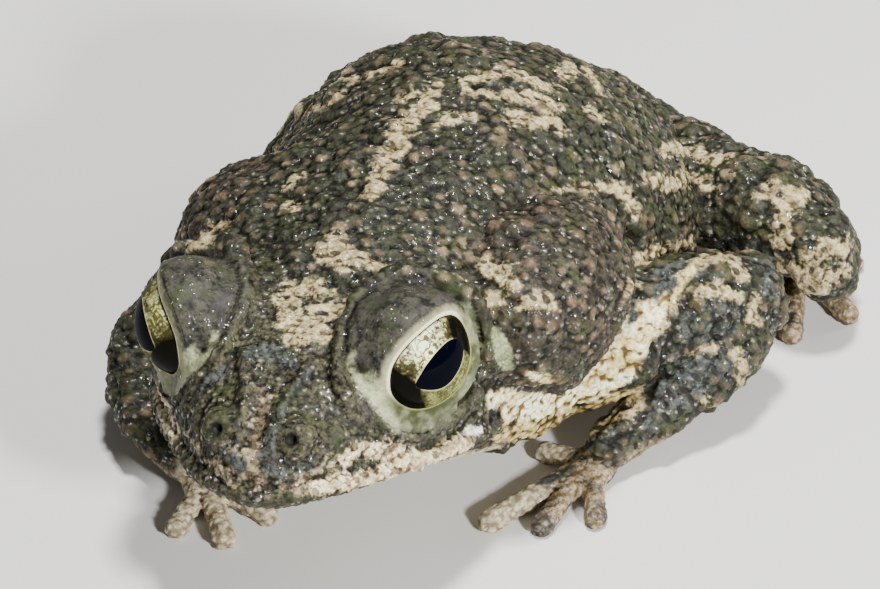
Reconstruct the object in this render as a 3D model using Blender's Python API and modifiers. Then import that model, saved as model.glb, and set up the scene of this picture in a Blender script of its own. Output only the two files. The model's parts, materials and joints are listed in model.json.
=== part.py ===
"""A crouching oak toad with its head turned a little to its left, a still model at life size.

Modelled in millimetres, toad facing -Y with its left side at +X, and scaled to metres at the end.
Head and trunk are fused from soft masses, given their crests, glands, lids and warts, and then parted
into head, lower jaw and torso by thin cuts. Each limb is built piece by piece outwards from the trunk,
cut clear of what it grows from by the same gap. The eyes are separate globes in open sockets.
"""
import math
import random

import bmesh
import bpy
import numpy as np
from mathutils import Matrix, Vector
from mathutils.bvhtree import BVHTree

MM = 0.001
GAP = 0.3
MODEL_NAME = "oak_toad"

# Fineness of the fused skins, in millimetres, rounds and triangles
FIRST_VOXEL = 0.3
FEATURE_VOXEL = 0.2
LIMB_VOXEL = 0.2
EASE_ROUNDS = 6
FEATURE_EASE_ROUNDS = 1
LIMB_EASE_ROUNDS = 3
EASE_LOW = 0.8
EASE_HIGH = 2.4
EASE_LEAST = 0.12
BODY_TRIANGLES = 10000
CLEARANCE_TRIANGLES = 2400
NODE_TRIANGLES = {"torso": 4400, "head": 3500, "lower_jaw": 280, "eye_left": 420, "eye_right": 420}
RING_POINTS = 40
BALL_SEGMENTS = 24
WART_SEGMENTS = 12
SPLINE_STEPS = 6
PALM_FLATNESS = 0.6
SHARP_ANGLE = math.radians(50.0)

# The height in the masses' frame at which soles, palms and belly are pressed flat
FLOOR = 0.12
FLAT_SNAP = 0.03
FLOOR_BOX = (60.0, 60.0, 10.0)

# Head frame: origin midway between the globes, x to the toad's left, y back, z up
HEAD_AT = Vector((0.0, -9.5, 9.0))
HEAD_YAW = math.radians(8.0)

# Eyes, in the head frame for the left side: the cornea shows in an opening between the lids
GLOBE = Vector((3.91, 0.13, 0.22))
CORNEA_R = 1.89
GLOBE_R = 1.58
SOCKET_R = GLOBE_R + GAP
LID_R = 2.24
GAZE = Vector((0.73, -0.57, 0.37)).normalized()
EYE_FRONT = Vector((3.54, -1.63, -0.30))
EYE_REAR = Vector((5.27, 1.30, 0.97))
OPENING_OUT = 1.3
OPENING_RADII = (1.78, 1.2, 1.6)

# Head sections: y, half width, bottom, height of the lip edge, top
HEAD_SECTIONS = (
    (-5.9, 0.7, -2.1, -1.6, -1.05),
    (-5.5, 1.25, -2.45, -1.7, -0.45),
    (-4.8, 2.0, -2.9, -1.9, 0.0),
    (-4.0, 2.7, -3.25, -2.15, 0.35),
    (-2.4, 3.9, -3.9, -2.64, 0.85),
    (-0.8, 4.9, -4.4, -3.13, 1.2),
    (0.8, 5.7, -4.85, -3.6, 1.4),
    (2.6, 6.2, -5.2, -4.1, 1.5),
    (5.6, 6.3, -5.4, -3.9, 1.9),
    (8.5, 5.8, -5.5, -3.4, 2.2),
)
HEAD_POWERS = (2.5, 2.0)

# Trunk sections: y, half width, bottom, widest height, top
TRUNK_X = 0.3
TRUNK_SECTIONS = (
    (-9.5, 3.8, 4.0, 6.4, 10.2),
    (-7.0, 5.3, 2.8, 5.2, 10.9),
    (-4.0, 6.3, 1.2, 4.2, 11.4),
    (0.0, 7.1, 0.0, 3.8, 11.8),
    (3.5, 7.5, -0.3, 4.0, 11.8),
    (7.0, 7.0, -0.2, 4.0, 10.1),
    (10.5, 5.2, 0.1, 3.7, 7.2),
    (12.8, 3.0, 1.0, 3.3, 5.2),
    (13.7, 1.0, 2.0, 3.0, 4.2),
)
TRUNK_POWERS = (2.1, 2.5)

# Limbs: rows of x, y, z and radius in the toad's frame, from the trunk outwards
LIMBS = {
    "upper_arm_left": (
        (5.8, -0.8, 3.8, 2.3), (7.9, 1.0, 4.1, 2.05), (9.6, 2.5, 4.4, 1.7),
        (10.7, 3.4, 4.3, 1.3),
    ),
    "forearm_left": (
        (10.7, 3.5, 3.7, 1.25), (10.2, 1.7, 2.8, 1.45), (9.0, -0.5, 1.85, 1.1),
        (7.8, -2.4, 1.1, 0.85),
    ),
    "upper_arm_right": (
        (-5.2, -0.6, 4.6, 1.9), (-7.8, -2.9, 4.0, 1.5), (-9.0, -5.0, 3.2, 1.1),
    ),
    "forearm_right": (
        (-9.1, -5.0, 2.9, 1.1), (-8.6, -6.4, 2.2, 1.1), (-7.4, -7.6, 1.6, 0.92),
        (-5.7, -8.4, 1.0, 0.7),
    ),
    "thigh_left": (
        (3.4, 10.2, 3.6, 2.1), (6.9, 8.9, 4.0, 2.0), (10.0, 7.9, 4.2, 1.8),
        (11.9, 7.1, 3.9, 1.35),
    ),
    "shank_left": (
        (12.2, 7.0, 3.0, 1.15), (11.4, 8.9, 2.6, 1.15), (9.3, 11.4, 2.45, 1.05),
        (7.6, 12.7, 1.9, 0.8),
    ),
    "thigh_right": (
        (-3.0, 10.2, 3.8, 2.1), (-5.9, 8.8, 4.0, 1.9), (-7.5, 6.6, 3.9, 1.6),
        (-7.8, 5.0, 3.4, 1.25),
    ),
    "shank_right": (
        (-8.3, 4.9, 2.6, 1.1), (-9.0, 7.3, 2.4, 1.05), (-8.3, 10.2, 2.3, 1.0),
        (-7.0, 12.2, 1.9, 0.8),
    ),
}
# Hands and feet: wrist or heel row, flat palm or sole and its radius, each digit's tip x, y and radius
DIGIT_Z = 0.4
DIGIT_MIDDLE = 0.55
DIGIT_ARCH = 0.08
DIGIT_ROOT_WIDTH = 1.2
DIGIT_WAIST_WIDTH = 0.92
EXTREMITIES = {
    "hand_left": ((7.9, -2.3, 0.9, 0.6), (7.4, -3.2, 0.65), 0.9,
                  ((5.5, -2.8, 0.38), (5.1, -6.8, 0.42), (6.9, -6.4, 0.38), (8.5, -5.4, 0.38))),
    "hand_right": ((-5.9, -8.2, 0.9, 0.55), (-4.9, -8.7, 0.62), 0.85,
                   ((-3.0, -7.5, 0.38), (-2.3, -9.2, 0.38), (-3.2, -10.8, 0.40), (-5.0, -10.9, 0.38))),
    "foot_left": ((7.1, 13.1, 0.75, 0.65), (9.9, 10.0, 0.55), 1.0,
                  ((8.2, 7.6, 0.36), (9.4, 5.8, 0.38), (11.2, 6.2, 0.42), (12.7, 7.9, 0.40),
                   (11.9, 10.7, 0.36))),
    "foot_right": ((-6.6, 12.7, 0.75, 0.65), (-9.6, 10.0, 0.55), 1.0,
                   ((-8.6, 7.0, 0.36), (-9.2, 5.0, 0.38), (-10.5, 4.3, 0.42), (-11.4, 5.9, 0.40),
                    (-11.4, 8.6, 0.36))),
}
# Each limb from the trunk outwards, with about how many triangles each piece has
CHAINS = (
    (("upper_arm_left", 260), ("forearm_left", 280), ("hand_left", 440)),
    (("upper_arm_right", 240), ("forearm_right", 240), ("hand_right", 440)),
    (("thigh_left", 360), ("shank_left", 320), ("foot_left", 520)),
    (("thigh_right", 340), ("shank_right", 300), ("foot_right", 520)),
)

# Crests and lips, in the head frame for the left side: rows of x, y, z and radius
CRESTS = {
    "supraorbital": (
        (1.9, -1.1, 1.15, 0.28), (1.95, 0.0, 1.5, 0.32), (2.25, 1.2, 1.75, 0.36),
        (2.95, 2.25, 1.8, 0.38),
    ),
    "postorbital": (
        (2.95, 2.25, 1.8, 0.38), (4.35, 2.6, 1.4, 0.38), (5.4, 2.4, 0.45, 0.36),
        (5.85, 2.15, -0.8, 0.34), (5.9, 2.0, -2.1, 0.3),
    ),
    "suborbital": (
        (3.15, -2.35, -1.2, 0.28), (4.05, -1.55, -1.8, 0.32), (4.95, -0.2, -2.1, 0.36),
        (5.55, 1.0, -2.05, 0.32),
    ),
    "canthal": (
        (1.9, -1.1, 1.15, 0.28), (2.1, -2.1, 0.85, 0.28), (2.5, -2.65, 0.2, 0.28),
        (2.9, -2.95, -0.6, 0.24),
    ),
    "prenasal": (
        (1.2, -1.9, 0.95, 0.24), (0.85, -3.0, 0.66, 0.24), (0.65, -3.9, 0.36, 0.24),
        (0.62, -4.7, 0.0, 0.24), (0.7, -5.3, -0.6, 0.22),
    ),
    "lip": (
        (0.0, -5.9, -1.62, 0.28), (1.2, -5.5, -1.72, 0.32), (2.0, -4.85, -1.9, 0.34),
        (2.7, -4.05, -2.15, 0.34), (3.85, -2.45, -2.64, 0.34), (4.85, -0.85, -3.13, 0.34),
        (5.65, 0.75, -3.6, 0.34), (6.05, 2.2, -4.05, 0.3),
    ),
}
# Soft lumps of the head, in the head frame for the left side: centre and radii
HEAD_LUMPS = {
    "upper_lid": ((3.0, 0.35, 0.85), (1.7, 2.1, 1.25)),
    "nostril_pad": ((1.2, -4.3, -0.15), (0.72, 0.78, 0.56)),
    "tympanum": ((5.75, 3.15, -1.55), (0.5, 0.55, 0.8)),
}
NOSTRIL = Vector((1.26, -4.84, 0.13))
NOSTRIL_R = 0.26

# Parotoid glands in the toad's frame: centre, radii and turn in degrees about x, y and z
PAROTOIDS = {
    "parotoid_left": ((5.3, -2.7, 7.3), (3.1, 4.0, 3.2), (0.0, 20.0, -12.0)),
    "parotoid_right": ((-4.5, -3.3, 7.2), (3.2, 3.6, 3.0), (0.0, -20.0, 12.0)),
}

# Warts on head and trunk
WART_SEED = 7
WART_COUNT = 150
WART_TRIES = 6000
WART_SPACING = 1.25
WART_RADII = (0.36, 0.58)
WART_HEIGHT = 0.62
WART_AXIS_Z = 5.0
WART_Y = (-7.0, 12.5)
WART_ANGLES = (-8.0, 188.0)
WART_LOWEST = 2.0
RAY_STEP = 0.05
WART_LIMB_ROOM = 0.7
LIMB_WARTS = 7
LIMB_WART_ANGLES = (20.0, 160.0)
LIMB_WART_SPAN = (0.32, 0.94)

# Mouth line, in the head frame: y and height in front and behind, then how deep the cut behind the jaw is
MOUTH_FRONT = (-7.0, -1.55)
MOUTH_REAR = (2.6, -4.45)
JAW_DEPTH = 3.5
JAW_HALF_WIDTH = 9.0
# The neck's cut in the head frame: its place along y and how far it reaches
NECK_Y = 3.9
NECK_REACH = 20.0

# Finish of the pieces: colour and roughness
SKIN_DARK = ((0.045, 0.05, 0.042), 0.45)
SKIN_PALE = ((0.42, 0.36, 0.24), 0.5)
SKIN_LIMB = ((0.16, 0.13, 0.09), 0.48)
EYE_GLOSS = ((0.02, 0.018, 0.012), 0.06)


def spline(rows, steps=SPLINE_STEPS):
    """Rows read from a Catmull-Rom curve through the given rows."""
    rows = np.asarray(rows, float)
    ends = np.vstack([2 * rows[0] - rows[1], rows, 2 * rows[-1] - rows[-2]])
    out = []
    for a, b, c, d in zip(ends, ends[1:], ends[2:], ends[3:]):
        for t in np.arange(steps) / steps:
            out.append(0.5 * (2 * b + (c - a) * t + (2 * a - 5 * b + 4 * c - d) * t**2
                              + (3 * b - a - 3 * c + d) * t**3))
    out.append(rows[-1])
    return np.array(out)


def head_matrix():
    """From the head frame to the toad's frame."""
    return Matrix.Translation(HEAD_AT) @ Matrix.Rotation(HEAD_YAW, 4, "Z")


def side(v, sign):
    """A left-side point or direction for the side of sign +1, left, or -1, right."""
    return Vector((v[0] * sign, v[1], v[2]))


def turned(degrees):
    """A rotation by degrees about x, then y, then z."""
    rotation = Matrix.Identity(4)
    for angle, axis in zip(degrees, "XYZ"):
        rotation = Matrix.Rotation(math.radians(angle), 4, axis) @ rotation
    return rotation


def mesh_object(name, bm):
    """An object in the scene from a bmesh, which is freed."""
    bmesh.ops.recalc_face_normals(bm, faces=bm.faces)
    mesh = bpy.data.meshes.new(name)
    bm.to_mesh(mesh)
    bm.free()
    obj = bpy.data.objects.new(name, mesh)
    bpy.context.scene.collection.objects.link(obj)
    return obj


def section_loft(name, sections, powers):
    """A closed body through sections of y, half width, bottom, widest height and top."""
    bm = bmesh.new()
    angles = np.arange(RING_POINTS) / RING_POINTS * 2 * math.pi
    rings = []
    for y, half_width, bottom, middle, top in spline(sections):
        ring = []
        for angle in angles:
            c, s = math.cos(angle), math.sin(angle)
            power = powers[0] if s > 0 else powers[1]
            x = half_width * math.copysign(abs(c) ** (2 / power), c)
            reach = top - middle if s > 0 else middle - bottom
            ring.append(bm.verts.new((x, y, middle + reach * math.copysign(abs(s) ** (2 / power), s))))
        rings.append(ring)
    for near, far in zip(rings, rings[1:]):
        for i in range(RING_POINTS):
            j = (i + 1) % RING_POINTS
            bm.faces.new((near[i], near[j], far[j], far[i]))
    bm.faces.new(rings[0])
    bm.faces.new(rings[-1])
    bmesh.ops.triangulate(bm, faces=[f for f in bm.faces if len(f.verts) > 4])
    return mesh_object(name, bm)


def ball(name, matrix, segments=BALL_SEGMENTS):
    """A unit ball placed and stretched by a matrix."""
    bm = bmesh.new()
    bmesh.ops.create_uvsphere(bm, u_segments=segments, v_segments=segments * 2 // 3, radius=1.0)
    bm.transform(matrix)
    return mesh_object(name, bm)


def ellipsoid(name, centre, radii, turn=(0.0, 0.0, 0.0), frame=Matrix()):
    """A ball stretched to three radii, turned by degrees about x, y and z."""
    return ball(name, frame @ Matrix.Translation(centre) @ turned(turn) @ Matrix.Diagonal((*radii, 1.0)))


def limb(name, rows, frame=Matrix()):
    """A tapering tube with round ends through rows of x, y, z and radius."""
    path = spline(rows)
    data = bpy.data.curves.new(name, "CURVE")
    data.dimensions = "3D"
    data.bevel_depth = 1.0
    data.bevel_resolution = 4
    data.use_fill_caps = True
    line = data.splines.new("POLY")
    line.points.add(len(path) - 1)
    for point, (x, y, z, radius) in zip(line.points, path):
        point.co = (x, y, z, 1.0)
        point.radius = radius
    tube = bpy.data.objects.new(name, data)
    bpy.context.scene.collection.objects.link(tube)
    bpy.context.view_layer.update()
    mesh = bpy.data.meshes.new_from_object(tube.evaluated_get(bpy.context.evaluated_depsgraph_get()))
    bpy.data.objects.remove(tube)
    bm = bmesh.new()
    bm.from_mesh(mesh)
    bmesh.ops.remove_doubles(bm, verts=bm.verts, dist=0.001)
    bm.transform(frame)
    pieces = [mesh_object(name, bm)]
    for x, y, z, radius in (path[0], path[-1]):
        pieces.append(ellipsoid(name + "_end", Vector((x, y, z)), (radius,) * 3, frame=frame))
    return pieces


def extremity(name):
    """A hand or foot: a flat palm or sole, a stem to the wrist or heel and a tube to each digit's tip."""
    stem, palm, palm_radius, tips = EXTREMITIES[name]
    thickness = palm_radius * PALM_FLATNESS
    pieces = [ellipsoid(name, palm, (palm_radius, palm_radius, thickness))]
    pieces += limb(name + "_stem", (stem, (*palm, thickness)))
    palm = Vector(palm)
    for number, (x, y, radius) in enumerate(tips, 1):
        tip = Vector((x, y, DIGIT_Z))
        middle = palm.lerp(tip, DIGIT_MIDDLE) + Vector((0.0, 0.0, DIGIT_ARCH))
        root, waist = radius * DIGIT_ROOT_WIDTH, radius * DIGIT_WAIST_WIDTH
        pieces += limb(f"{name}_{number}", ((*palm, root), (*middle, waist), (*tip, radius)))
    return pieces


def limb_masses(name):
    """The soft masses of one limb piece."""
    return extremity(name) if name in EXTREMITIES else limb(name, LIMBS[name])


def body_masses():
    """The soft masses of head and trunk."""
    head = section_loft("skull", HEAD_SECTIONS, HEAD_POWERS)
    head.data.transform(head_matrix())
    trunk = section_loft("trunk", TRUNK_SECTIONS, TRUNK_POWERS)
    trunk.data.transform(Matrix.Translation((TRUNK_X, 0.0, 0.0)))
    pieces = [head, trunk]
    for sign in (1, -1):
        pieces.append(ellipsoid("brow", side(GLOBE, sign), (LID_R,) * 3, frame=head_matrix()))
    return pieces


def feature_masses():
    """Parotoid glands, crests, lids, nostril pads and lips."""
    pieces = [ellipsoid(name, *shape) for name, shape in PAROTOIDS.items()]
    for sign in (1, -1):
        pieces.append(ellipsoid("lids", side(GLOBE, sign), (LID_R,) * 3, frame=head_matrix()))
        for name, rows in CRESTS.items():
            pieces += limb(name, [(row[0] * sign, *row[1:]) for row in rows], head_matrix())
        for name, (centre, radii) in HEAD_LUMPS.items():
            pieces.append(ellipsoid(name, side(centre, sign), radii, frame=head_matrix()))
    return pieces


def evaluated(obj):
    """The object with its modifiers applied."""
    bpy.context.view_layer.update()
    mesh = bpy.data.meshes.new_from_object(obj.evaluated_get(bpy.context.evaluated_depsgraph_get()))
    obj.modifiers.clear()
    obj.data = mesh
    return obj


def joined(name, pieces):
    """One object holding every piece's mesh; the pieces are removed."""
    bm = bmesh.new()
    for piece in pieces:
        bm.from_mesh(piece.data)
        bpy.data.objects.remove(piece)
    return mesh_object(name, bm)


def fused(name, pieces, voxel):
    """The pieces as one closed skin of even quads."""
    obj = joined(name, pieces)
    remesh = obj.modifiers.new("skin", "REMESH")
    remesh.mode = "VOXEL"
    remesh.voxel_size = voxel
    return evaluated(obj)


def eased(obj, rounds):
    """The object smoothed, but hardly near the floor, where the thin digits are."""
    soft = obj.vertex_groups.new(name="soft")
    for vertex in obj.data.vertices:
        weight = (vertex.co.z - EASE_LOW) / (EASE_HIGH - EASE_LOW)
        soft.add((vertex.index,), min(1.0, max(EASE_LEAST, weight)), "REPLACE")
    smooth = obj.modifiers.new("ease", "SMOOTH")
    smooth.vertex_group = "soft"
    smooth.factor = 0.5
    smooth.iterations = rounds
    return evaluated(obj)


def thinned(obj, triangles):
    """The object reduced to about this many triangles."""
    obj.data.calc_loop_triangles()
    decimate = obj.modifiers.new("thin", "DECIMATE")
    decimate.ratio = triangles / len(obj.data.loop_triangles)
    decimate.use_collapse_triangulate = True
    return evaluated(obj)


def cut(obj, cutter, operation="DIFFERENCE", solver="EXACT"):
    """The object with one cutter taken away, kept or joined; the cutter is removed."""
    boolean = obj.modifiers.new("cut", "BOOLEAN")
    boolean.operation = operation
    boolean.solver = solver
    boolean.object = cutter
    evaluated(obj)
    bpy.data.objects.remove(cutter)
    return obj


def box(name, centre, size, turn=(0.0, 0.0, 0.0), frame=Matrix()):
    """A box of this size, turned by degrees about x, y and z."""
    bm = bmesh.new()
    bmesh.ops.create_cube(bm, size=1.0)
    bm.transform(frame @ Matrix.Translation(centre) @ turned(turn) @ Matrix.Diagonal((*size, 1.0)))
    return mesh_object(name, bm)


def opening_matrix(sign, shrink=0.0):
    """The lids' opening as a stretched ball: long from front corner to rear corner, out along the gaze."""
    out = side(GAZE, sign)
    along = (side(EYE_REAR, sign) - side(EYE_FRONT, sign)).normalized()
    along = (along - out * along.dot(out)).normalized()
    across = out.cross(along)
    turn = Matrix((along, across, out)).transposed().to_4x4()
    place = Matrix.Translation(side(GLOBE, sign) + out * OPENING_OUT)
    radii = [radius - shrink for radius in OPENING_RADII]
    return head_matrix() @ place @ turn @ Matrix.Diagonal((*radii, 1.0))


def eye(name, sign):
    """A globe a little inside the lids, with the full cornea where the lids part."""
    place = head_matrix() @ Matrix.Translation(side(GLOBE, sign))
    cornea = ball(name, place @ Matrix.Scale(CORNEA_R, 4))
    cut(cornea, ball("opening", opening_matrix(sign, GAP)), "INTERSECT")
    globe = ball("globe", place @ Matrix.Scale(GLOBE_R, 4))
    return cut(cornea, globe, "UNION")


def open_eyes_and_nostrils(body):
    """Sockets, lid openings and nostrils cut into the head."""
    for sign in (1, -1):
        place = head_matrix() @ Matrix.Translation(side(GLOBE, sign)) @ Matrix.Scale(SOCKET_R, 4)
        cut(body, cut(ball("socket", place), ball("opening", opening_matrix(sign)), "UNION"))
        cut(body, ellipsoid("nostril", side(NOSTRIL, sign), (NOSTRIL_R,) * 3, frame=head_matrix()))


def near_limb(place):
    """Whether a place on the trunk is under or beside the root of a limb."""
    rows = [row for name in LIMBS for row in spline(LIMBS[name])]
    return any((place - Vector(row[:3])).length < row[3] + WART_LIMB_ROOM for row in rows)


def wart_sites(body):
    """Places on the back and sides, met by rays from the trunk's axis, with a radius for each wart."""
    tree = BVHTree.FromObject(body, bpy.context.evaluated_depsgraph_get())
    draw = random.Random(WART_SEED)
    sites = []
    for _ in range(WART_TRIES):
        y = draw.uniform(*WART_Y)
        angle = math.radians(draw.uniform(*WART_ANGLES))
        radius = draw.uniform(*WART_RADII)
        out = Vector((math.cos(angle), 0.0, math.sin(angle)))
        start = Vector((TRUNK_X, y, WART_AXIS_Z))
        place = None
        hit = tree.ray_cast(start, out)
        while hit[0] is not None:
            place, normal = hit[0], hit[1]
            hit = tree.ray_cast(place + out * RAY_STEP, out)
        if place is None or place.z < WART_LOWEST or near_limb(place):
            continue
        if any((place - other).length < WART_SPACING for other, _, _ in sites):
            continue
        sites.append((place, normal, radius))
        if len(sites) == WART_COUNT:
            break
    return sites


def wart(place, normal, radius):
    """A low dome, half sunk."""
    turn = normal.to_track_quat("Z", "Y").to_matrix().to_4x4()
    shape = Matrix.Diagonal((radius, radius, radius * WART_HEIGHT, 1.0))
    return ball("wart", Matrix.Translation(place) @ turn @ shape, segments=WART_SEGMENTS)


def limb_warts(name, draw):
    """Domes along the upper side of an arm or leg piece."""
    rows = spline(LIMBS[name])
    warts = []
    for number in range(LIMB_WARTS):
        share = LIMB_WART_SPAN[0] + (LIMB_WART_SPAN[1] - LIMB_WART_SPAN[0]) * number / (LIMB_WARTS - 1)
        x, y, z, thickness = rows[round(share * (len(rows) - 1))]
        along = Vector(rows[-1][:3] - rows[0][:3]).normalized()
        level = along.cross(Vector((0.0, 0.0, 1.0))).normalized()
        angle = math.radians(draw.uniform(*LIMB_WART_ANGLES))
        out = level * math.cos(angle) + level.cross(along) * math.sin(angle)
        warts.append(wart(Vector((x, y, z)) + out * thickness, out, draw.uniform(*WART_RADII)))
    return warts


def lower_jaw_cutter():
    """A thin cut along the mouth line, closed off behind by an upright one."""
    bm = bmesh.new()
    (front_y, front_z), (rear_y, rear_z) = MOUTH_FRONT, MOUTH_REAR
    half = GAP / 2
    profile = [(front_y, front_z + half), (rear_y, rear_z + half), (rear_y, rear_z - JAW_DEPTH),
               (rear_y - GAP, rear_z - JAW_DEPTH), (rear_y - GAP, rear_z - half), (front_y, front_z - half)]
    face = bm.faces.new([bm.verts.new((-JAW_HALF_WIDTH, y, z)) for y, z in profile])
    pushed = bmesh.ops.extrude_face_region(bm, geom=[face])["geom"]
    moved = [item for item in pushed if isinstance(item, bmesh.types.BMVert)]
    bmesh.ops.translate(bm, verts=moved, vec=(2 * JAW_HALF_WIDTH, 0.0, 0.0))
    bm.transform(head_matrix())
    return mesh_object("mouth", bm)


def clear_scene():
    for obj in list(bpy.data.objects):
        bpy.data.objects.remove(obj)


def volume(obj):
    """What a closed object holds; a sealed hollow counts below zero."""
    bm = bmesh.new()
    bm.from_mesh(obj.data)
    held = bm.calc_volume(signed=True)
    bm.free()
    return held


def loose_parts(obj):
    """The object's separate closed surfaces, each an object of its own, largest first."""
    bpy.ops.object.select_all(action="DESELECT")
    obj.select_set(True)
    bpy.context.view_layer.objects.active = obj
    bpy.ops.mesh.separate(type="LOOSE")
    return sorted(bpy.context.selected_objects, key=volume, reverse=True)


def keep(parts, names):
    """The largest parts under these names; the rest are removed."""
    for scrap in parts[len(names):]:
        bpy.data.objects.remove(scrap)
    for part, name in zip(parts, names):
        part.name = name
    return parts[:len(names)]


def clearance(obj):
    """A twin fatter by the gap, which cuts the object's neighbours clear of it."""
    bm = bmesh.new()
    bm.from_mesh(obj.data)
    for vertex in bm.verts:
        vertex.co += vertex.normal * GAP
    return thinned(fused("clearance", [mesh_object("fat", bm)], LIMB_VOXEL), CLEARANCE_TRIANGLES)


def copy_of(obj):
    """A second object with its own mesh."""
    twin = obj.copy()
    twin.data = obj.data.copy()
    bpy.context.scene.collection.objects.link(twin)
    return twin


def pressed(obj):
    """The object with its lowest points brought to one level, so that it rests on flats."""
    for vertex in obj.data.vertices:
        if vertex.co.z < FLOOR + FLAT_SNAP:
            vertex.co.z = FLOOR
    return obj


def floor_box():
    """All that lies under the floor."""
    return box("floor", (0.0, 0.0, FLOOR - FLOOR_BOX[2] / 2), FLOOR_BOX)


def head_and_trunk():
    """Head and trunk as one skin with glands, crests, lids, lips and warts."""
    body = eased(fused("body", body_masses(), FIRST_VOXEL), EASE_ROUNDS)
    body = fused("body", [body] + feature_masses(), FEATURE_VOXEL)
    warts = [wart(*site) for site in wart_sites(body)]
    body = eased(fused("body", [body] + warts, FEATURE_VOXEL), FEATURE_EASE_ROUNDS)
    return thinned(body, BODY_TRIANGLES)


def parted(body):
    """The body cut flat where it rests and parted into torso, head and lower jaw."""
    cut(body, floor_box())
    cut(body, box("neck", (0.0, NECK_Y, 0.0), (NECK_REACH, GAP, NECK_REACH), frame=head_matrix()))
    torso, head = keep(loose_parts(body), ("torso", "head"))
    cut(head, lower_jaw_cutter())
    return [torso, *keep(loose_parts(head), ("head", "lower_jaw"))]


def limb_piece(name, draw):
    """One arm or leg piece with its warts, before it is cut clear of its neighbours."""
    piece = eased(fused(name, limb_masses(name), LIMB_VOXEL), LIMB_EASE_ROUNDS)
    if name in LIMBS:
        piece = fused(name, [piece] + limb_warts(name, draw), LIMB_VOXEL)
    return piece


def build_limbs(body):
    """Each limb from the trunk outwards, every piece cut clear of the body and of the piece before it."""
    draw = random.Random(WART_SEED)
    body_room = clearance(body)
    pieces = []
    for chain in CHAINS:
        neighbour_room = None
        for name, triangles in chain:
            piece = thinned(limb_piece(name, draw), triangles * 2)
            room = clearance(piece)
            cut(piece, floor_box())
            cut(piece, copy_of(body_room))
            if neighbour_room:
                cut(piece, neighbour_room)
            neighbour_room = room
            pieces += [pressed(thinned(part, triangles)) for part in keep(loose_parts(piece), (name,))]
        bpy.data.objects.remove(neighbour_room)
    bpy.data.objects.remove(body_room)
    return pieces


def painted(node):
    """The node's own finish, shaded smooth."""
    colour, roughness = SKIN_DARK
    if node.name.startswith("eye"):
        colour, roughness = EYE_GLOSS
    elif node.name == "lower_jaw":
        colour, roughness = SKIN_PALE
    elif node.name not in ("head", "torso"):
        colour, roughness = SKIN_LIMB
    material = bpy.data.materials.new(node.name)
    material.use_nodes = True
    shader = material.node_tree.nodes["Principled BSDF"]
    shader.inputs["Base Color"].default_value = (*colour, 1.0)
    shader.inputs["Roughness"].default_value = roughness
    node.data.materials.clear()
    node.data.materials.append(material)
    node.data.shade_smooth()
    node.data.set_sharp_from_angle(angle=SHARP_ANGLE)


def triangulated(node):
    bm = bmesh.new()
    bm.from_mesh(node.data)
    bmesh.ops.triangulate(bm, faces=bm.faces)
    bm.to_mesh(node.data)
    bm.free()


def set_down(nodes):
    """The nodes in metres, resting on z = 0 with the origin under the middle of their box."""
    points = np.array([vertex.co for node in nodes for vertex in node.data.vertices])
    low, high = points.min(axis=0), points.max(axis=0)
    middle = (low + high) / 2
    place = Matrix.Scale(MM, 4) @ Matrix.Translation((-middle[0], -middle[1], -low[2]))
    for node in nodes:
        node.data.transform(place)


def gathered(nodes):
    """The nodes in a collection of their own."""
    group = bpy.data.collections.new(MODEL_NAME)
    bpy.context.scene.collection.children.link(group)
    for node in nodes:
        for other in node.users_collection:
            other.objects.unlink(node)
        group.objects.link(node)


def build_toad():
    clear_scene()
    body = head_and_trunk()
    limbs = build_limbs(body)
    open_eyes_and_nostrils(body)
    eyes = [node for sign, name in ((1, "eye_left"), (-1, "eye_right"))
            for node in keep(loose_parts(eye(name, sign)), (name,))]
    nodes = [pressed(thinned(node, NODE_TRIANGLES[node.name])) for node in parted(body) + eyes] + limbs
    for node in nodes:
        triangulated(node)
        painted(node)
    set_down(nodes)
    gathered(nodes)
    return nodes


build_toad()
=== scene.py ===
"""Looks of a crouching oak toad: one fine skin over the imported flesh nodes, wet eyes and their lids.

The skin is grown from the same soft masses as the solids, in millimetres in the toad's own frame, with
the toad facing -Y and its left side at +X. It gets tubercles, folds and markings, and is then brought
into the frame in metres.
"""
import json
import math

import bmesh
import bpy
import numpy as np
from mathutils import Matrix, Vector
from mathutils.bvhtree import BVHTree
from mathutils.kdtree import KDTree

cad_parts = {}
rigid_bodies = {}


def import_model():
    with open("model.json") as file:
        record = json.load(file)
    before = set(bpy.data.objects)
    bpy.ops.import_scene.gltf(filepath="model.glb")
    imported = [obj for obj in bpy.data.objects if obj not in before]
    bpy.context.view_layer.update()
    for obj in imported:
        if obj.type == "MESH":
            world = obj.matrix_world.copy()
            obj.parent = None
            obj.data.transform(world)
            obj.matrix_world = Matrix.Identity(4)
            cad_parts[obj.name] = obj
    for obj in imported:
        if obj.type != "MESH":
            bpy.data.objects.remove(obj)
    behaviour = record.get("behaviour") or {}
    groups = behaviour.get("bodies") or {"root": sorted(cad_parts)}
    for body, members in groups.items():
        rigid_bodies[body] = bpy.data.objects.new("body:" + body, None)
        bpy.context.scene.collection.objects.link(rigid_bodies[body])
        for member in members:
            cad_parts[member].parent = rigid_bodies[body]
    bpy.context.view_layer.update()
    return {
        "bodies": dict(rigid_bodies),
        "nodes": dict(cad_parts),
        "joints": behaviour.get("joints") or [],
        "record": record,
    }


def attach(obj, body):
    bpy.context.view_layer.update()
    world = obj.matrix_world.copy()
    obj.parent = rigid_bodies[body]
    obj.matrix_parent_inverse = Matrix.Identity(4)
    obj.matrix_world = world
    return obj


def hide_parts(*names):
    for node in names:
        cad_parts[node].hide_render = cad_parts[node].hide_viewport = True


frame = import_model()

MM = 0.001
FLOOR = 0.12
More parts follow.
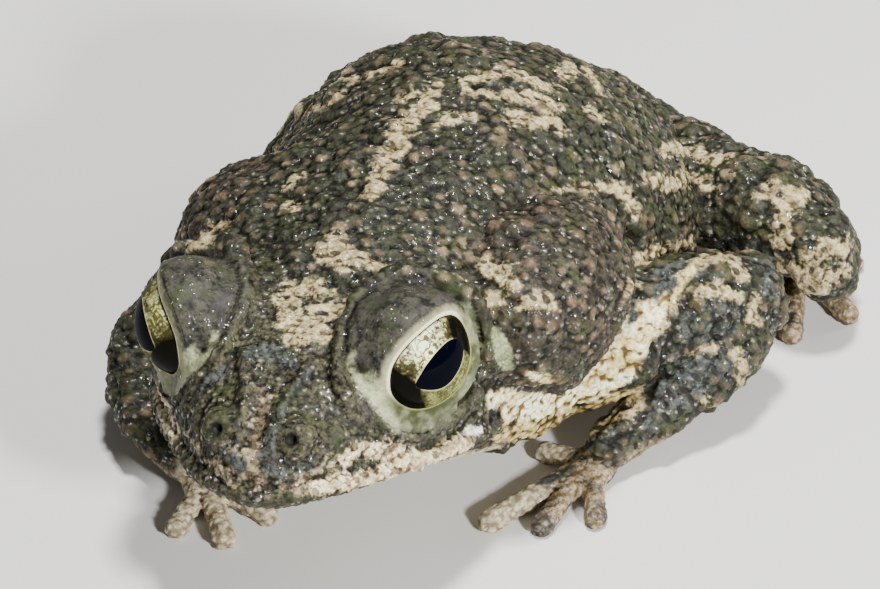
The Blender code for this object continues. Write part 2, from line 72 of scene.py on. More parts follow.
# The row's origin in the toad's own frame
ORIGIN = Vector((0.7739, -0.9034, FLOOR))
FLESH_NODES = ["head", "lower_jaw", "torso"]
FLESH_NODES += [f"{part}_{side}" for side in ("left", "right")
                for part in ("upper_arm", "forearm", "hand", "thigh", "shank", "foot")]

# Fineness of the skin
FIRST_VOXEL = 0.3
LIMB_VOXEL = 0.2
DIGIT_VOXEL = 0.1
SKIN_VOXEL = 0.088
EASE_ROUNDS = 6
LIMB_EASE_ROUNDS = 3
SKIN_EASE_ROUNDS = 12
EASE_LOW = 0.8
EASE_HIGH = 2.4
EASE_LEAST = 0.12
RING_POINTS = 96
BALL_SEGMENTS = 48
SPLINE_STEPS = 8
OUTLINE_STEPS = 6
BEVEL_STEPS = 8
WELD = 0.001
PALM_FLATNESS = 0.6

# Camera, fitted to the head: angles in degrees, distance in millimetres, lengths on the photo in pixels
PHOTO = (880, 589)
AZIMUTH = 28.0
ELEVATION = 38.8
ROLL = 5.2
DISTANCE = 150.0
FOCAL = 4500.0
EYES_PIXEL = (300.6, 344.5)
SENSOR = 36.0
# In metres
CLIP = (0.01, 10.0)

# Head frame: origin midway between the globes, x to the toad's left, y back, z up
HEAD_AT = Vector((0.0, -9.5, 9.0))
HEAD_YAW = math.radians(8.0)

# Eyes, in the head frame for the left side
GLOBE = Vector((3.91, 0.13, 0.22))
CORNEA_R = 1.89
LID_R = 2.24
GAZE = Vector((0.73, -0.57, 0.37)).normalized()
EYE_FRONT = Vector((3.54, -1.63, -0.30))
EYE_REAR = Vector((5.27, 1.30, 0.97))
# The lids' opening and the pupil, as the photo's pixels of the left eye
OPENING_PIXELS = ((389, 378), (393, 363), (405, 346), (423, 329), (441, 316), (454, 315), (464, 325),
                  (470, 346), (469, 367), (459, 388), (442, 403), (421, 413), (403, 410), (392, 396))
PUPIL_PIXELS = ((416, 386), (424, 369), (435, 354), (447, 342), (456, 339), (462, 345), (463, 357),
                (457, 373), (447, 385), (434, 390))
# Black corners of the iris as pixels and radii, and the line between its lower and upper half
EYE_CORNERS = (((385, 410), 40), ((485, 322), 35))
EYE_MIDLINE = ((416, 386), (458, 339))
# Farthest that the opening reaches from the gaze, in degrees
WIDEST_LOOK = 72.0
# The skin's cut: how much wider than the opening, and the shell that it spans round the globe's centre
CUT_ROOM = 0.32
CUT_SHELL = (1.6, 2.75)
CUT_STEPS = (1.0, 0.75, 0.5, 0.25)
SOCKET_ROOM = 0.02
LID_ROOM = 0.12
# Heights in the gaze frame between which the lower lid goes over to the upper one
UPPER_LID = (-0.5, 0.6)
UPPER_IRIS = (-0.12, 0.12)
EYEBALL_SEGMENTS = 200
# The lids' rolled edge: start on the cornea, then reach over the skin and share of the way out to the skin,
# for the lower and the upper lid
RIM_EDGE = (-0.05, -0.04)
RIM_TUCK = 0.01
PLAIN_ON_RIMS = ("tip", "gap", "hollow", "granular", "bead", "pebble", "grain", "speck", "between")
RIM_LIFT = 0.05
RIM_PROFILE = ((0.05, (0.15, 0.30)), (0.11, (0.42, 0.62)), (0.19, (0.70, 0.86)), (0.29, (0.90, 0.97)),
               (0.40, (1.0, 1.03)), (0.52, (1.03, 1.03)), (0.70, (0.85, 0.85)))

# Head sections: y, half width, bottom, height of the lip edge, top
HEAD_SECTIONS = (
    (-5.9, 0.7, -2.1, -1.6, -1.05),
    (-5.5, 1.25, -2.45, -1.7, -0.45),
    (-4.8, 2.0, -2.9, -1.9, 0.0),
    (-4.0, 2.7, -3.25, -2.15, 0.35),
    (-2.4, 3.9, -3.9, -2.64, 0.85),
    (-0.8, 4.9, -4.4, -3.13, 1.2),
    (0.8, 5.7, -4.85, -3.6, 1.4),
    (2.6, 6.2, -5.2, -4.1, 1.5),
    (5.6, 6.3, -5.4, -3.9, 1.9),
    (8.5, 5.8, -5.5, -3.4, 2.2),
)
HEAD_POWERS = (2.5, 2.0)

# Trunk sections: y, half width, bottom, widest height, top
TRUNK_X = 0.3
TRUNK_SECTIONS = (
    (-9.5, 3.8, 4.0, 6.4, 10.2),
    (-7.0, 5.3, 2.8, 5.2, 10.9),
    (-4.0, 6.3, 1.2, 4.2, 11.4),
    (0.0, 7.1, 0.0, 3.8, 11.8),
    (3.5, 7.5, -0.3, 4.0, 11.8),
    (7.0, 7.0, -0.2, 4.0, 10.1),
    (10.5, 5.2, 0.1, 3.7, 7.2),
    (12.8, 3.0, 1.0, 3.3, 5.2),
    (13.7, 1.0, 2.0, 3.0, 4.2),
)
TRUNK_POWERS = (2.1, 2.5)

# Limbs: rows of x, y, z and radius in the toad's frame, from the trunk outwards
LIMBS = {
    "upper_arm_left": (
        (5.8, -0.8, 3.8, 2.3), (7.9, 1.0, 4.1, 2.05), (9.6, 2.5, 4.4, 1.7),
        (10.7, 3.4, 4.3, 1.3),
    ),
    "forearm_left": (
        (10.7, 3.5, 3.7, 1.25), (10.2, 1.7, 2.8, 1.45), (9.0, -0.5, 1.85, 1.1),
        (7.8, -2.4, 1.1, 0.85),
    ),
    "upper_arm_right": (
        (-5.2, -0.6, 4.6, 1.9), (-7.8, -2.9, 4.0, 1.5), (-9.0, -5.0, 3.2, 1.1),
    ),
    "forearm_right": (
        (-9.1, -5.0, 2.9, 1.1), (-8.6, -6.4, 2.2, 1.1), (-7.4, -7.6, 1.6, 0.92),
        (-5.7, -8.4, 1.0, 0.7),
    ),
    "thigh_left": (
        (3.4, 10.2, 3.6, 2.1), (6.9, 8.9, 4.0, 2.0), (10.0, 7.9, 4.2, 1.8),
        (11.9, 7.1, 3.9, 1.35),
    ),
    "shank_left": (
        (12.2, 7.0, 3.0, 1.15), (11.4, 8.9, 2.6, 1.15), (9.3, 11.4, 2.45, 1.05),
        (7.6, 12.7, 1.9, 0.8),
    ),
    "thigh_right": (
        (-3.0, 10.2, 3.8, 2.1), (-5.9, 8.8, 4.0, 1.9), (-7.5, 6.6, 3.9, 1.6),
        (-7.8, 5.0, 3.4, 1.25),
    ),
    "shank_right": (
        (-8.3, 4.9, 2.6, 1.1), (-9.0, 7.3, 2.4, 1.05), (-8.3, 10.2, 2.3, 1.0),
        (-7.0, 12.2, 1.9, 0.8),
    ),
}
# Hands and feet: the wrist or heel row, the flat palm or sole and its radius, then each digit's tip as x, y
# and radius
DIGIT_Z = 0.4
DIGIT_MIDDLE = 0.55
DIGIT_ARCH = 0.08
DIGIT_ROOT_WIDTH = 1.2
DIGIT_WAIST_WIDTH = 0.92
EXTREMITIES = {
    "hand_left": ((7.9, -2.3, 0.9, 0.6), (7.4, -3.2, 0.65), 0.9,
                  ((5.5, -2.8, 0.38), (5.1, -6.8, 0.42), (6.9, -6.4, 0.38), (8.5, -5.4, 0.38))),
    "hand_right": ((-5.9, -8.2, 0.9, 0.55), (-4.9, -8.7, 0.62), 0.85,
                   ((-3.0, -7.5, 0.38), (-2.3, -9.2, 0.38), (-3.2, -10.8, 0.40), (-5.0, -10.9, 0.38))),
    "foot_left": ((7.1, 13.1, 0.75, 0.65), (9.9, 10.0, 0.55), 1.0,
                  ((8.2, 7.6, 0.36), (9.4, 5.8, 0.38), (11.2, 6.2, 0.42), (12.7, 7.9, 0.40),
                   (11.9, 10.7, 0.36))),
    "foot_right": ((-6.6, 12.7, 0.75, 0.65), (-9.6, 10.0, 0.55), 1.0,
                   ((-8.6, 7.0, 0.36), (-9.2, 5.0, 0.38), (-10.5, 4.3, 0.42), (-11.4, 5.9, 0.40),
                    (-11.4, 8.6, 0.36))),
}

# Crests and lips, in the head frame for the left side: rows of x, y, z and radius
CRESTS = {
    "supraorbital": (
        (1.9, -1.1, 1.15, 0.28), (1.95, 0.0, 1.5, 0.32), (2.25, 1.2, 1.75, 0.36),
        (2.95, 2.25, 1.8, 0.38),
    ),
    "postorbital": (
        (2.95, 2.25, 1.8, 0.38), (4.35, 2.6, 1.4, 0.38), (5.4, 2.4, 0.45, 0.36),
        (5.85, 2.15, -0.8, 0.34), (5.9, 2.0, -2.1, 0.3),
    ),
    "suborbital": (
        (3.15, -2.35, -1.2, 0.28), (4.05, -1.55, -1.8, 0.32), (4.95, -0.2, -2.1, 0.36),
        (5.55, 1.0, -2.05, 0.32),
    ),
    "canthal": (
        (1.9, -1.1, 1.15, 0.28), (2.1, -2.1, 0.85, 0.28), (2.5, -2.65, 0.2, 0.28),
        (2.9, -2.95, -0.6, 0.24),
    ),
    "prenasal": (
        (1.2, -1.9, 0.95, 0.24), (0.85, -3.0, 0.66, 0.24), (0.65, -3.9, 0.36, 0.24),
        (0.62, -4.7, 0.0, 0.24), (0.7, -5.3, -0.6, 0.22),
    ),
    "lip": (
        (0.0, -5.9, -1.62, 0.28), (1.2, -5.5, -1.72, 0.32), (2.0, -4.85, -1.9, 0.34),
        (2.7, -4.05, -2.15, 0.34), (3.85, -2.45, -2.64, 0.34), (4.85, -0.85, -3.13, 0.34),
        (5.65, 0.75, -3.6, 0.34), (6.05, 2.2, -4.05, 0.3),
    ),
}
# Soft lumps of the head, in the head frame for the left side: centre and radii
HEAD_LUMPS = {
    "upper_lid": ((3.0, 0.35, 0.85), (1.7, 2.1, 1.25)),
    "nostril_pad": ((1.2, -4.3, -0.15), (0.72, 0.78, 0.56)),
    "tympanum": ((5.75, 3.15, -1.55), (0.5, 0.55, 0.8)),
}
TYMPANUM = Vector((5.98, 3.10, -1.52))
TYMPANUM_RADII = (0.62, 0.6, 0.85)
NOSTRIL = Vector((1.28, -4.9, 0.19))
NOSTRIL_R = 0.22
# The raised ring round each nostril: its middle, width and height
NOSTRIL_RING = (0.46, 0.15, 0.06)
# The mouth line from front to rear as y and z in the head frame, its half width and depth
MOUTH_LINE = ((-7.0, -1.55), (2.6, -4.45))
MOUTH_WIDTH = 0.08
MOUTH_DEPTH = 0.16

# Parotoid glands in the toad's frame: centre, radii and turn in degrees about x, y and z
PAROTOIDS = {
    "parotoid_left": ((5.3, -2.7, 7.3), (3.1, 4.0, 3.2), (0.0, 20.0, -12.0)),
    "parotoid_right": ((-4.5, -3.3, 7.2), (3.2, 3.6, 3.0), (0.0, -20.0, 12.0)),
}

# Strokes of the brush on the skin, as the camera sees them: pixels and radii of the photo
MARKS = {
    "pale": (
        ((337, 238, 9), (345, 262, 13), (368, 262, 9), (378, 268, 5)),
        ((322, 252, 7), (335, 262, 8)),
        ((288, 292, 13), (290, 320, 13), (300, 340, 11)),
        ((305, 290, 12), (325, 292, 8)),
        ((315, 318, 14), (333, 312, 12), (345, 302, 6)),
        ((305, 330, 13), (325, 335, 8)),
        ((192, 245, 6), (206, 238, 8), (214, 228, 6), (228, 222, 6)),
        ((212, 262, 3), (204, 266, 4)),
        ((434, 90, 7), (425, 108, 11), (407, 125, 10), (396, 145, 12), (384, 168, 10), (370, 195, 8)),
        ((338, 82, 7), (356, 80, 5)),
        ((372, 76, 5), (398, 66, 7)),
        ((300, 115, 4), (330, 103, 6), (345, 95, 4)),
        ((415, 95, 7), (400, 100, 5)),
        ((440, 122, 6), (470, 118, 5)),
        ((465, 82, 6), (490, 74, 8), (515, 76, 9), (545, 88, 8)),
        ((470, 92, 6), (500, 95, 7), (530, 98, 8), (555, 105, 8)),
        ((512, 116, 7), (530, 122, 9), (550, 118, 9), (560, 132, 6)),
        ((560, 84, 7), (572, 68, 8), (588, 74, 8), (596, 92, 5)),
        ((590, 110, 4), (600, 120, 5)),
        ((612, 188, 6), (626, 196, 8), (632, 212, 6)),
        ((555, 190, 3), (600, 188, 4)),
        ((660, 152, 7), (686, 150, 8), (715, 160, 7), (728, 156, 5)),
        ((645, 180, 6), (672, 184, 7), (690, 176, 6), (716, 190, 4)),
        ((765, 192, 8), (790, 200, 9), (803, 196, 5)),
        ((785, 210, 9), (783, 240, 9)),
        ((780, 262, 8), (800, 278, 12), (825, 250, 12), (846, 246, 7)),
        ((790, 292, 8), (815, 285, 12), (842, 270, 7)),
        ((640, 262, 7), (660, 248, 7), (690, 244, 6)),
        ((700, 262, 9), (730, 258, 8), (742, 275, 7)),
        ((690, 292, 6), (715, 288, 8), (738, 296, 6)),
        ((625, 290, 6), (632, 285, 5)),
        ((640, 310, 6), (655, 315, 8), (650, 330, 10)),
        ((683, 276, 5), (672, 300, 5), (664, 325, 6)),
        ((755, 300, 4), (752, 320, 6)),
        ((692, 352, 4), (712, 348, 4)),
        ((738, 355, 4), (740, 385, 5)),
        ((632, 388, 7), (638, 405, 8), (625, 412, 5)),
        ((700, 395, 3), (715, 410, 4)),
        ((560, 448, 9), (590, 432, 9), (615, 418, 6)),
        ((482, 262, 5), (500, 272, 7), (512, 285, 5)),
        ((485, 300, 5), (505, 300, 5)),
        ((520, 305, 4), (545, 300, 5)),
        ((290, 185, 6), (303, 178, 5)),
        ((288, 206, 6), (296, 212, 4)),
    ),
    "cream": (
        ((490, 400, 8), (515, 396, 11), (545, 400, 12), (580, 392, 14), (605, 372, 17), (628, 346, 18),
         (645, 325, 13)),
        ((505, 412, 6), (540, 408, 8), (580, 398, 9), (612, 384, 9), (632, 366, 9)),
        ((530, 372, 4), (548, 378, 6)),
        ((645, 325, 12), (660, 305, 9), (676, 287, 8), (692, 268, 6)),
        ((622, 322, 6), (640, 318, 8)),
    ),
    # The cream side's lower band, its cream darkened to gold as painted shade
    "gold": (
        ((498, 436, 8), (530, 430, 12), (565, 420, 12), (600, 408, 11), (622, 392, 8)),
        ((505, 424, 8), (545, 418, 9), (585, 408, 9), (618, 392, 8)),
    ),
    "tan": (
        ((262, 385, 3), (265, 408, 5), (257, 432, 6), (250, 462, 7), (258, 484, 9)),
        ((285, 488, 7), (320, 487, 8)),
        ((232, 478, 6), (205, 455, 5), (182, 422, 4)),
        ((222, 446, 5), (236, 458, 5)),
        ((300, 478, 5), (318, 470, 4)),
    ),
    "lip": (
        ((320, 487, 8), (350, 482, 9), (390, 472, 9), (430, 458, 9), (470, 440, 6)),
        ((335, 462, 6), (360, 450, 8), (395, 452, 8)),
    ),
    "dark": (
        ((662, 275, 8), (685, 266, 6)),
        ((655, 295, 7), (672, 285, 8)),
        ((628, 305, 5), (632, 318, 5)),
        ((700, 278, 3), (718, 276, 4)),
        ((680, 322, 10), (710, 312, 9), (738, 310, 6)),
        ((662, 345, 5), (690, 335, 9), (725, 330, 8)),
        ((665, 365, 14), (700, 368, 13), (725, 370, 8)),
        ((665, 395, 14), (695, 385, 13)),
        ((655, 420, 12), (680, 408, 8)),
        ((600, 442, 9), (616, 434, 9)),
        ((545, 482, 7), (568, 470, 8)),
        ((765, 250, 8), (770, 290, 7)),
        ((308, 374, 3), (291, 396, 4), (276, 418, 4), (271, 444, 4), (266, 458, 4)),
        ((266, 466, 5), (278, 474, 5)),
        ((286, 464, 2), (300, 468, 3), (314, 465, 2)),
        ((226, 452, 4), (240, 466, 5)),
        ((250, 355, 7), (272, 352, 8), (288, 364, 6)),
        ((196, 392, 4), (212, 380, 5), (228, 372, 5)),
        ((735, 240, 5), (755, 262, 5)),
    ),
    "drum": (
        ((495, 334, 6), (502, 352, 9), (507, 366, 5)),
    ),
    "white": (
        ((466, 432, 5), (480, 429, 5)),
    ),
}
# Marks of the head's left side that the right side has too
HEAD_MARKS = {
    "lid_pale": (
        ((356, 376, 3), (366, 386, 7), (376, 396, 9), (388, 412, 8), (400, 424, 6)),
        ((352, 355, 2), (352, 370, 3)),
        ((372, 378, 5), (380, 388, 6)),
        ((412, 430, 3), (432, 426, 2)),
    ),
}
# Grooves and ridges, as the camera sees them: pixels and half widths, then depth in millimetres. Those of
# the head are mirrored to its right side
GROOVES = (
    (((628, 232, 3), (638, 240, 3), (630, 268, 4), (620, 300, 4), (606, 342, 4), (582, 372, 3),
      (552, 388, 3)), 0.3),
    (((560, 182, 2), (592, 190, 2), (614, 196, 2), (628, 232, 2)), 0.08),
    (((498, 212, 2), (530, 200, 2), (565, 198, 2), (600, 215, 2), (620, 245, 2)), 0.07),
    (((482, 312, 3), (500, 308, 2), (520, 302, 2)), 0.08),
    (((486, 388, 2), (500, 380, 2), (520, 374, 2)), 0.08),
    (((610, 442, 3), (640, 425, 2), (652, 392, 3), (664, 352, 3), (676, 325, 3), (688, 296, 3),
      (712, 268, 3)), 0.12),
    (((636, 372, 2), (652, 352, 2), (668, 330, 2)), 0.08),
    (((570, 460, 2), (600, 430, 2), (620, 408, 2)), 0.06),
    (((420, 160, 2), (450, 150, 2), (480, 148, 2)), 0.05),
    (((221, 346, 1), (213, 360, 2), (203, 378, 2), (190, 401, 1)), 0.12),
)
HEAD_GROOVES = (
    (((472, 296, 2), (478, 318, 2), (480, 345, 2), (478, 372, 2), (468, 396, 2), (452, 410, 1)), 0.16),
    (((346, 378, 1), (358, 402, 2), (374, 424, 2), (392, 438, 2), (412, 446, 2), (436, 444, 2), (458, 430, 1),
      (476, 412, 1)), 0.14),
    (((346, 372, 1), (344, 350, 1), (346, 325, 1), (356, 302, 1), (374, 287, 1)), 0.12),
    (((340, 366, 1), (322, 372, 1), (303, 385, 2), (290, 402, 2), (283, 425, 1), (279, 450, 1)), 0.05),
    (((326, 418, 1), (329, 436, 1), (326, 452, 1), (318, 462, 1)), 0.05),
    (((296, 468, 1), (308, 470, 1), (318, 465, 1)), 0.05),
    (((436, 412, 1), (456, 400, 1), (470, 384, 1)), 0.04),
)
HEAD_RIDGES = (
    (((353, 372, 2), (366, 402, 2), (384, 426, 2), (404, 438, 2), (426, 439, 2), (446, 430, 2),
      (462, 415, 2)), 0.05),
    (((352, 345, 1), (352, 320, 1), (361, 303, 1)), 0.04),
    (((334, 425, 1), (336, 440, 1), (330, 458, 1)), 0.04),
    (((300, 360, 2), (284, 385, 2), (272, 412, 2), (268, 445, 2)), 0.03),
)
STROKE_STEP = 4.0
# How far outside a stroke its distance is still told, for marks and for grooves
MARK_REACH = 1.5
GROOVE_REACH = 0.5
# Distances inside a stroke between which a groove sinks, and between which it darkens with painted shade
GROOVE_DEEPENS = (-0.18, 0.08)
GROOVE_DARKENS = (-0.08, 0.06)
# Marks farther out and lower than this, in millimetres, are mirrored to the right side
MIRRORED_FROM = 3.0
MIRRORED_BELOW = 7.0

# Tubercles: least spacing, radius and height ranges, seed
TUBERCLES = {
    "wart": (1.7, (0.45, 0.8), (0.07, 0.20), 11),
    "cone": (0.48, (0.20, 0.38), (0.05, 0.16), 12),
    "pebble": (0.32, (0.19, 0.27), (0.10, 0.17), 14),
    "grain": (0.22, (0.10, 0.16), (0.03, 0.065), 13),
}
# Least roughness of skin that carries tubercles, and pores ahead of them
LEAST_ROUGH = 0.12
LEAST_PORED = 0.3
NO_PORE = -1.0
WART_TIP_SHARE = 0.7
# Nearness to a grain's tip below which a point counts as being between the grains
GRAIN_FOOT = (0.0, 0.35)
# Skin this near to the cornea gets no relief
SOCKET_CALM = 0.1
NEIGHBOURS = 3
LEAN = 0.45
ROW_SQUEEZE = np.array((0.85, 1.2, 1.0))
PORE_AHEAD = 0.85
PORE_RADII = (0.04, 0.18)
PORE_SQUEEZE = (1.6, 0.85)
# Soft folds and sharper wrinkles over the back: size and height
FOLDS = ((1.3, 0.07), (0.55, 0.035))
FOLD_SEED = 20
WRINKLES = ((0.9, 0.06), (0.4, 0.05))
WRINKLE_SEED = 21
WRINKLE_SQUEEZE = np.array((0.6, 1.6, 1.0))
HOLLOW_ROUNDS = 4
NOISE_TABLE = 4096
NOISE_STRIDES = np.array([73856093, 19349663, 83492791])
# Noise that frays the edges of areas and of the mouth line: height, size and seed
FRAYS = {"belly": (0.5, 1.5, 3), "chin": (0.6, 0.9, 4), "mouth": (0.06, 0.4, 5)}

# Where the skin's areas fade, in millimetres or as shares of a gland's or eardrum's radii
LID_AREA = (2.3, 2.9)
DRUM_AREA = (0.9, 1.15)
GLAND_AREA = (0.95, 1.15)
BELLY_AREA = (1.6, 3.2)
TRUNK_AREA = (6.8, 5.6)
SNOUT_AREA = (-1.5, 2.5)
DIGIT_AREA = (0.9, 1.6)
CHIN_AREA = (0.2, 1.5)
CHIN_SHARE = 0.7
NOSTRIL_AREA = (NOSTRIL_R - 0.02, NOSTRIL_R + 0.08)
FAR_SIDE = (0.05, -0.35)
EYE_REACH = 4.0
FAR_FROM_LIDS = 3.0
# Edges of the marks that smooth the relief or make it granular, and how much relief some areas lose or gain
SMOOTH_EDGE = (-0.25, -0.05)
GRANULAR_EDGE = (-0.2, 0.2)
PALE_LID_EDGE = (-0.3, 0.0)
CALM_SNOUT = 0.8
CALM_LID = 0.8
CALM_DIGITS = 0.85
CALM_GRAIN = 0.85
BUSY_SNOUT = 0.6

# Edge of each kind of mark, in millimetres inside its strokes, and how far noise sways it
MARK_EDGES = {
    "pale": (-0.16, 0.10, 1.0),
    "dark": (-0.16, 0.10, 1.0),
    "gold": (-0.16, 0.10, 0.6),
    "cream": (-0.16, 0.10, 0.6),
    "tan": (-0.14, 0.14, 1.5),
    "lip": (-0.22, 0.08, 1.2),
    "lid_pale": (-0.15, 0.15, 0.5),
    "drum": (-0.10, 0.06, 0.3),
    "white": (-0.05, 0.08, 0.5),
}
# Mottled colours of the skin: dark, light, and half the width of noise over which one becomes the other
MOTTLED = {
    "skin": ((0.008, 0.010, 0.007), (0.052, 0.055, 0.034), 0.25),
    "gland": ((0.014, 0.012, 0.009), (0.074, 0.060, 0.042), 0.25),
    "snout": ((0.007, 0.007, 0.005), (0.105, 0.098, 0.058), 0.25),
    "dark": ((0.009, 0.012, 0.012), (0.094, 0.102, 0.092), 0.25),
    "lid": ((0.012, 0.012, 0.010), (0.062, 0.058, 0.044), 0.25),
    "tan": ((0.022, 0.017, 0.012), (0.17, 0.13, 0.075), 0.25),
    "tan_grain": ((0.12, 0.09, 0.050), (0.42, 0.34, 0.21), 0.25),
    "lip": ((0.030, 0.022, 0.014), (0.32, 0.24, 0.13), 0.25),
    "lip_grain": ((0.44, 0.34, 0.18), (0.96, 0.84, 0.54), 0.25),
    "digit": ((0.22, 0.155, 0.085), (0.60, 0.49, 0.32), 0.25),
    "digit_dark": ((0.035, 0.030, 0.026), (0.15, 0.125, 0.105), 0.25),
    "pale": ((0.25, 0.195, 0.092), (0.66, 0.545, 0.300), 0.32),
    "belly": ((0.42, 0.35, 0.22), (0.68, 0.60, 0.42), 0.3),
    "cream": ((0.66, 0.52, 0.22), (0.98, 0.92, 0.62), 0.2),
    # The cream side's colours darkened as painted shade
    "gold": ((0.30, 0.215, 0.055), (0.66, 0.53, 0.24), 0.2),
    "lower_lid": ((0.070, 0.078, 0.034), (0.24, 0.25, 0.16), 0.25),
    "lid_pale": ((0.22, 0.24, 0.13), (0.42, 0.44, 0.26), 0.25),
    "lower_rim": ((0.045, 0.050, 0.018), (0.19, 0.20, 0.095), 0.2),
    "drum": ((0.22, 0.25, 0.13), (0.38, 0.42, 0.24), 0.3),
}
# Cloudy tints over some of them: green, and purple grey
TINTS = {
    "skin": ((0.052, 0.062, 0.020), (0.048, 0.038, 0.043)),
    "gland": ((0.050, 0.056, 0.024), (0.066, 0.047, 0.046)),
    "snout": ((0.044, 0.056, 0.022), (0.036, 0.028, 0.036)),
    "dark": ((0.058, 0.070, 0.040), (0.062, 0.055, 0.056)),
    "lid": ((0.042, 0.050, 0.022), (0.054, 0.042, 0.052)),
}
# Painted shade between the pebbles of the granular marks, and the pebble heights over which it fades
PEBBLE_GAP_SHADE = {
    "gold": ((0.055, 0.036, 0.010), 0.05, 0.6),
    "cream": ((0.22, 0.145, 0.034), 0.02, 0.42),
}
# The wart tips' colours, from dull to bright
SKIN_TIPS = ((0.045, 0.046, 0.030), (0.155, 0.115, 0.066))
GLAND_TIPS = ((0.052, 0.040, 0.029), (0.20, 0.130, 0.078))
BRIGHT_TIP = (0.34, 0.25, 0.145)
# Plain colours: rim and edges of the lids, the upper edge partly a painted highlight, the white spot, painted
# highlights on lit grains, then painted shade for the places in shade
UPPER_RIM = (0.36, 0.345, 0.20)
# The lower lid's edge in its own green gold; the upper lid's edge cream, lightened by a painted highlight
LID_EDGES_WITH_HIGHLIGHT = ((0.32, 0.33, 0.13), (0.84, 0.80, 0.56))
WHITE_SPOT = (0.90, 0.86, 0.76)
GRAIN_HIGHLIGHT = (0.46, 0.42, 0.31)
CREVICE = (0.30, 0.27, 0.22)
HOLLOW = (0.13, 0.11, 0.08)
GROOVE = (0.010, 0.008, 0.005)
PORE = (0.012, 0.010, 0.008)
NOSTRIL_DARK = (0.006, 0.005, 0.004)
SKIN_BUMP = 0.024

# The eye's colours
# The upper iris's own gold, lightened by a painted sheen of reflected light
IRIS_WITH_SHEEN = ((0.56, 0.52, 0.15), (0.97, 0.98, 0.64))
DIM_IRIS = (0.25, 0.25, 0.07)
LOW_IRIS = ((0.060, 0.064, 0.020), (0.32, 0.33, 0.12))
VEIN = (0.060, 0.055, 0.012)
BROWN = (0.038, 0.029, 0.009)
PUPIL_RING = (0.80, 0.74, 0.40)
EYE_CORNER = (0.003, 0.003, 0.002)
# Painted shadow of the lids' edge on the globe
LID_SHADOW = (0.010, 0.009, 0.004)
PUPIL = (0.0006, 0.0009, 0.0030)
# Each side's name and how much the shade of the lid dims its iris
EYES = {1: ("left", 0.0), -1: ("right", 0.7)}

# Studio: each lamp's place in millimetres along the camera's right, up and back, its size, its power, and
# whether the wet skin mirrors it
LAMPS = {
    "key": ((10.0, 150.0, 110.0), 24.0, 0.60, True),
    "flash": ((85.0, -10.0, 165.0), 18.0, 0.62, True),
    "rim": ((170.0, 90.0, -20.0), 90.0, 0.26, False),
}
FLOOR_REACH = 1.0
FLOOR_COLOUR = (0.66, 0.65, 0.63)
FLOOR_ROUGHNESS = 0.8
SKY_COLOUR = (1.0, 0.98, 0.95, 1.0)
SKY_STRENGTH = 0.13


def spline(rows, steps=SPLINE_STEPS, closed=False):
    """Rows read from an open or closed Catmull-Rom curve through the given rows."""
    rows = np.asarray(rows, float)
    if closed:
        ends = rows[np.arange(-1, len(rows) + 2) % len(rows)]
    else:
        ends = np.vstack([2 * rows[0] - rows[1], rows, 2 * rows[-1] - rows[-2]])
    out = []
    for a, b, c, d in zip(ends, ends[1:], ends[2:], ends[3:]):
        for t in np.arange(steps) / steps:
            out.append(0.5 * (2 * b + (c - a) * t + (2 * a - 5 * b + 4 * c - d) * t**2
                              + (3 * b - a - 3 * c + d) * t**3))
    return np.array(out if closed else out + [rows[-1]])


def head_matrix():
    """From the head frame to the toad's frame."""
    return Matrix.Translation(HEAD_AT) @ Matrix.Rotation(HEAD_YAW, 4, "Z")


def side(v, sign):
    """A left-side point or direction for the side of sign +1, left, or -1, right."""
    return Vector((v[0] * sign, v[1], v[2]))


def turned(degrees):
    """A rotation by degrees about x, then y, then z."""
    rotation = Matrix.Identity(4)
    for angle, axis in zip(degrees, "XYZ"):
        rotation = Matrix.Rotation(math.radians(angle), 4, axis) @ rotation
    return rotation


def camera_axes():
    """The camera's right, up and backward directions."""
    a, e, roll = (math.radians(angle) for angle in (AZIMUTH, ELEVATION, ROLL))
    back = Vector((math.sin(a) * math.cos(e), -math.cos(a) * math.cos(e), math.sin(e)))
    level = Vector((math.cos(a), math.sin(a), 0.0))
    above = back.cross(level)
    right = level * math.cos(roll) - above * math.sin(roll)
    up = above * math.cos(roll) + level * math.sin(roll)
    return right, up, back


def camera_place():
    """The camera's place in the toad's frame."""
    right, up, back = camera_axes()
    across = (EYES_PIXEL[0] - PHOTO[0] / 2) / FOCAL * DISTANCE
    down = (EYES_PIXEL[1] - PHOTO[1] / 2) / FOCAL * DISTANCE
    return HEAD_AT + back * DISTANCE - right * across + up * down


def pixel_ray(pixel):
    """The direction in which the camera sees a pixel of the photo."""
    right, up, back = camera_axes()
    across = (pixel[0] - PHOTO[0] / 2) / FOCAL
    down = (pixel[1] - PHOTO[1] / 2) / FOCAL
    return (right * across - up * down - back).normalized()


def mesh_object(name, bm):
    """An object in the scene from a bmesh, which is freed."""
    bmesh.ops.recalc_face_normals(bm, faces=bm.faces)
    mesh = bpy.data.meshes.new(name)
    bm.to_mesh(mesh)
    bm.free()
    obj = bpy.data.objects.new(name, mesh)
    bpy.context.scene.collection.objects.link(obj)
    return obj


def bridged(bm, rings):
    """Faces between each ring of corners and the next."""
    for near, far in zip(rings, rings[1:]):
        for i in range(len(near)):
            j = (i + 1) % len(near)
            bm.faces.new((near[i], near[j], far[j], far[i]))


def section_loft(name, sections, powers):
    """A closed body through sections of y, half width, bottom, widest height and top."""
    bm = bmesh.new()
    angles = np.arange(RING_POINTS) / RING_POINTS * 2 * math.pi
    rings = []
    for y, half_width, bottom, middle, top in spline(sections):
        ring = []
        for angle in angles:
            c, s = math.cos(angle), math.sin(angle)
            power = powers[0] if s > 0 else powers[1]
            x = half_width * math.copysign(abs(c) ** (2 / power), c)
            reach = top - middle if s > 0 else middle - bottom
            ring.append(bm.verts.new((x, y, middle + reach * math.copysign(abs(s) ** (2 / power), s))))
        rings.append(ring)
    bridged(bm, rings)
    bm.faces.new(rings[0])
    bm.faces.new(rings[-1])
    bmesh.ops.triangulate(bm, faces=[f for f in bm.faces if len(f.verts) > 4])
    return mesh_object(name, bm)


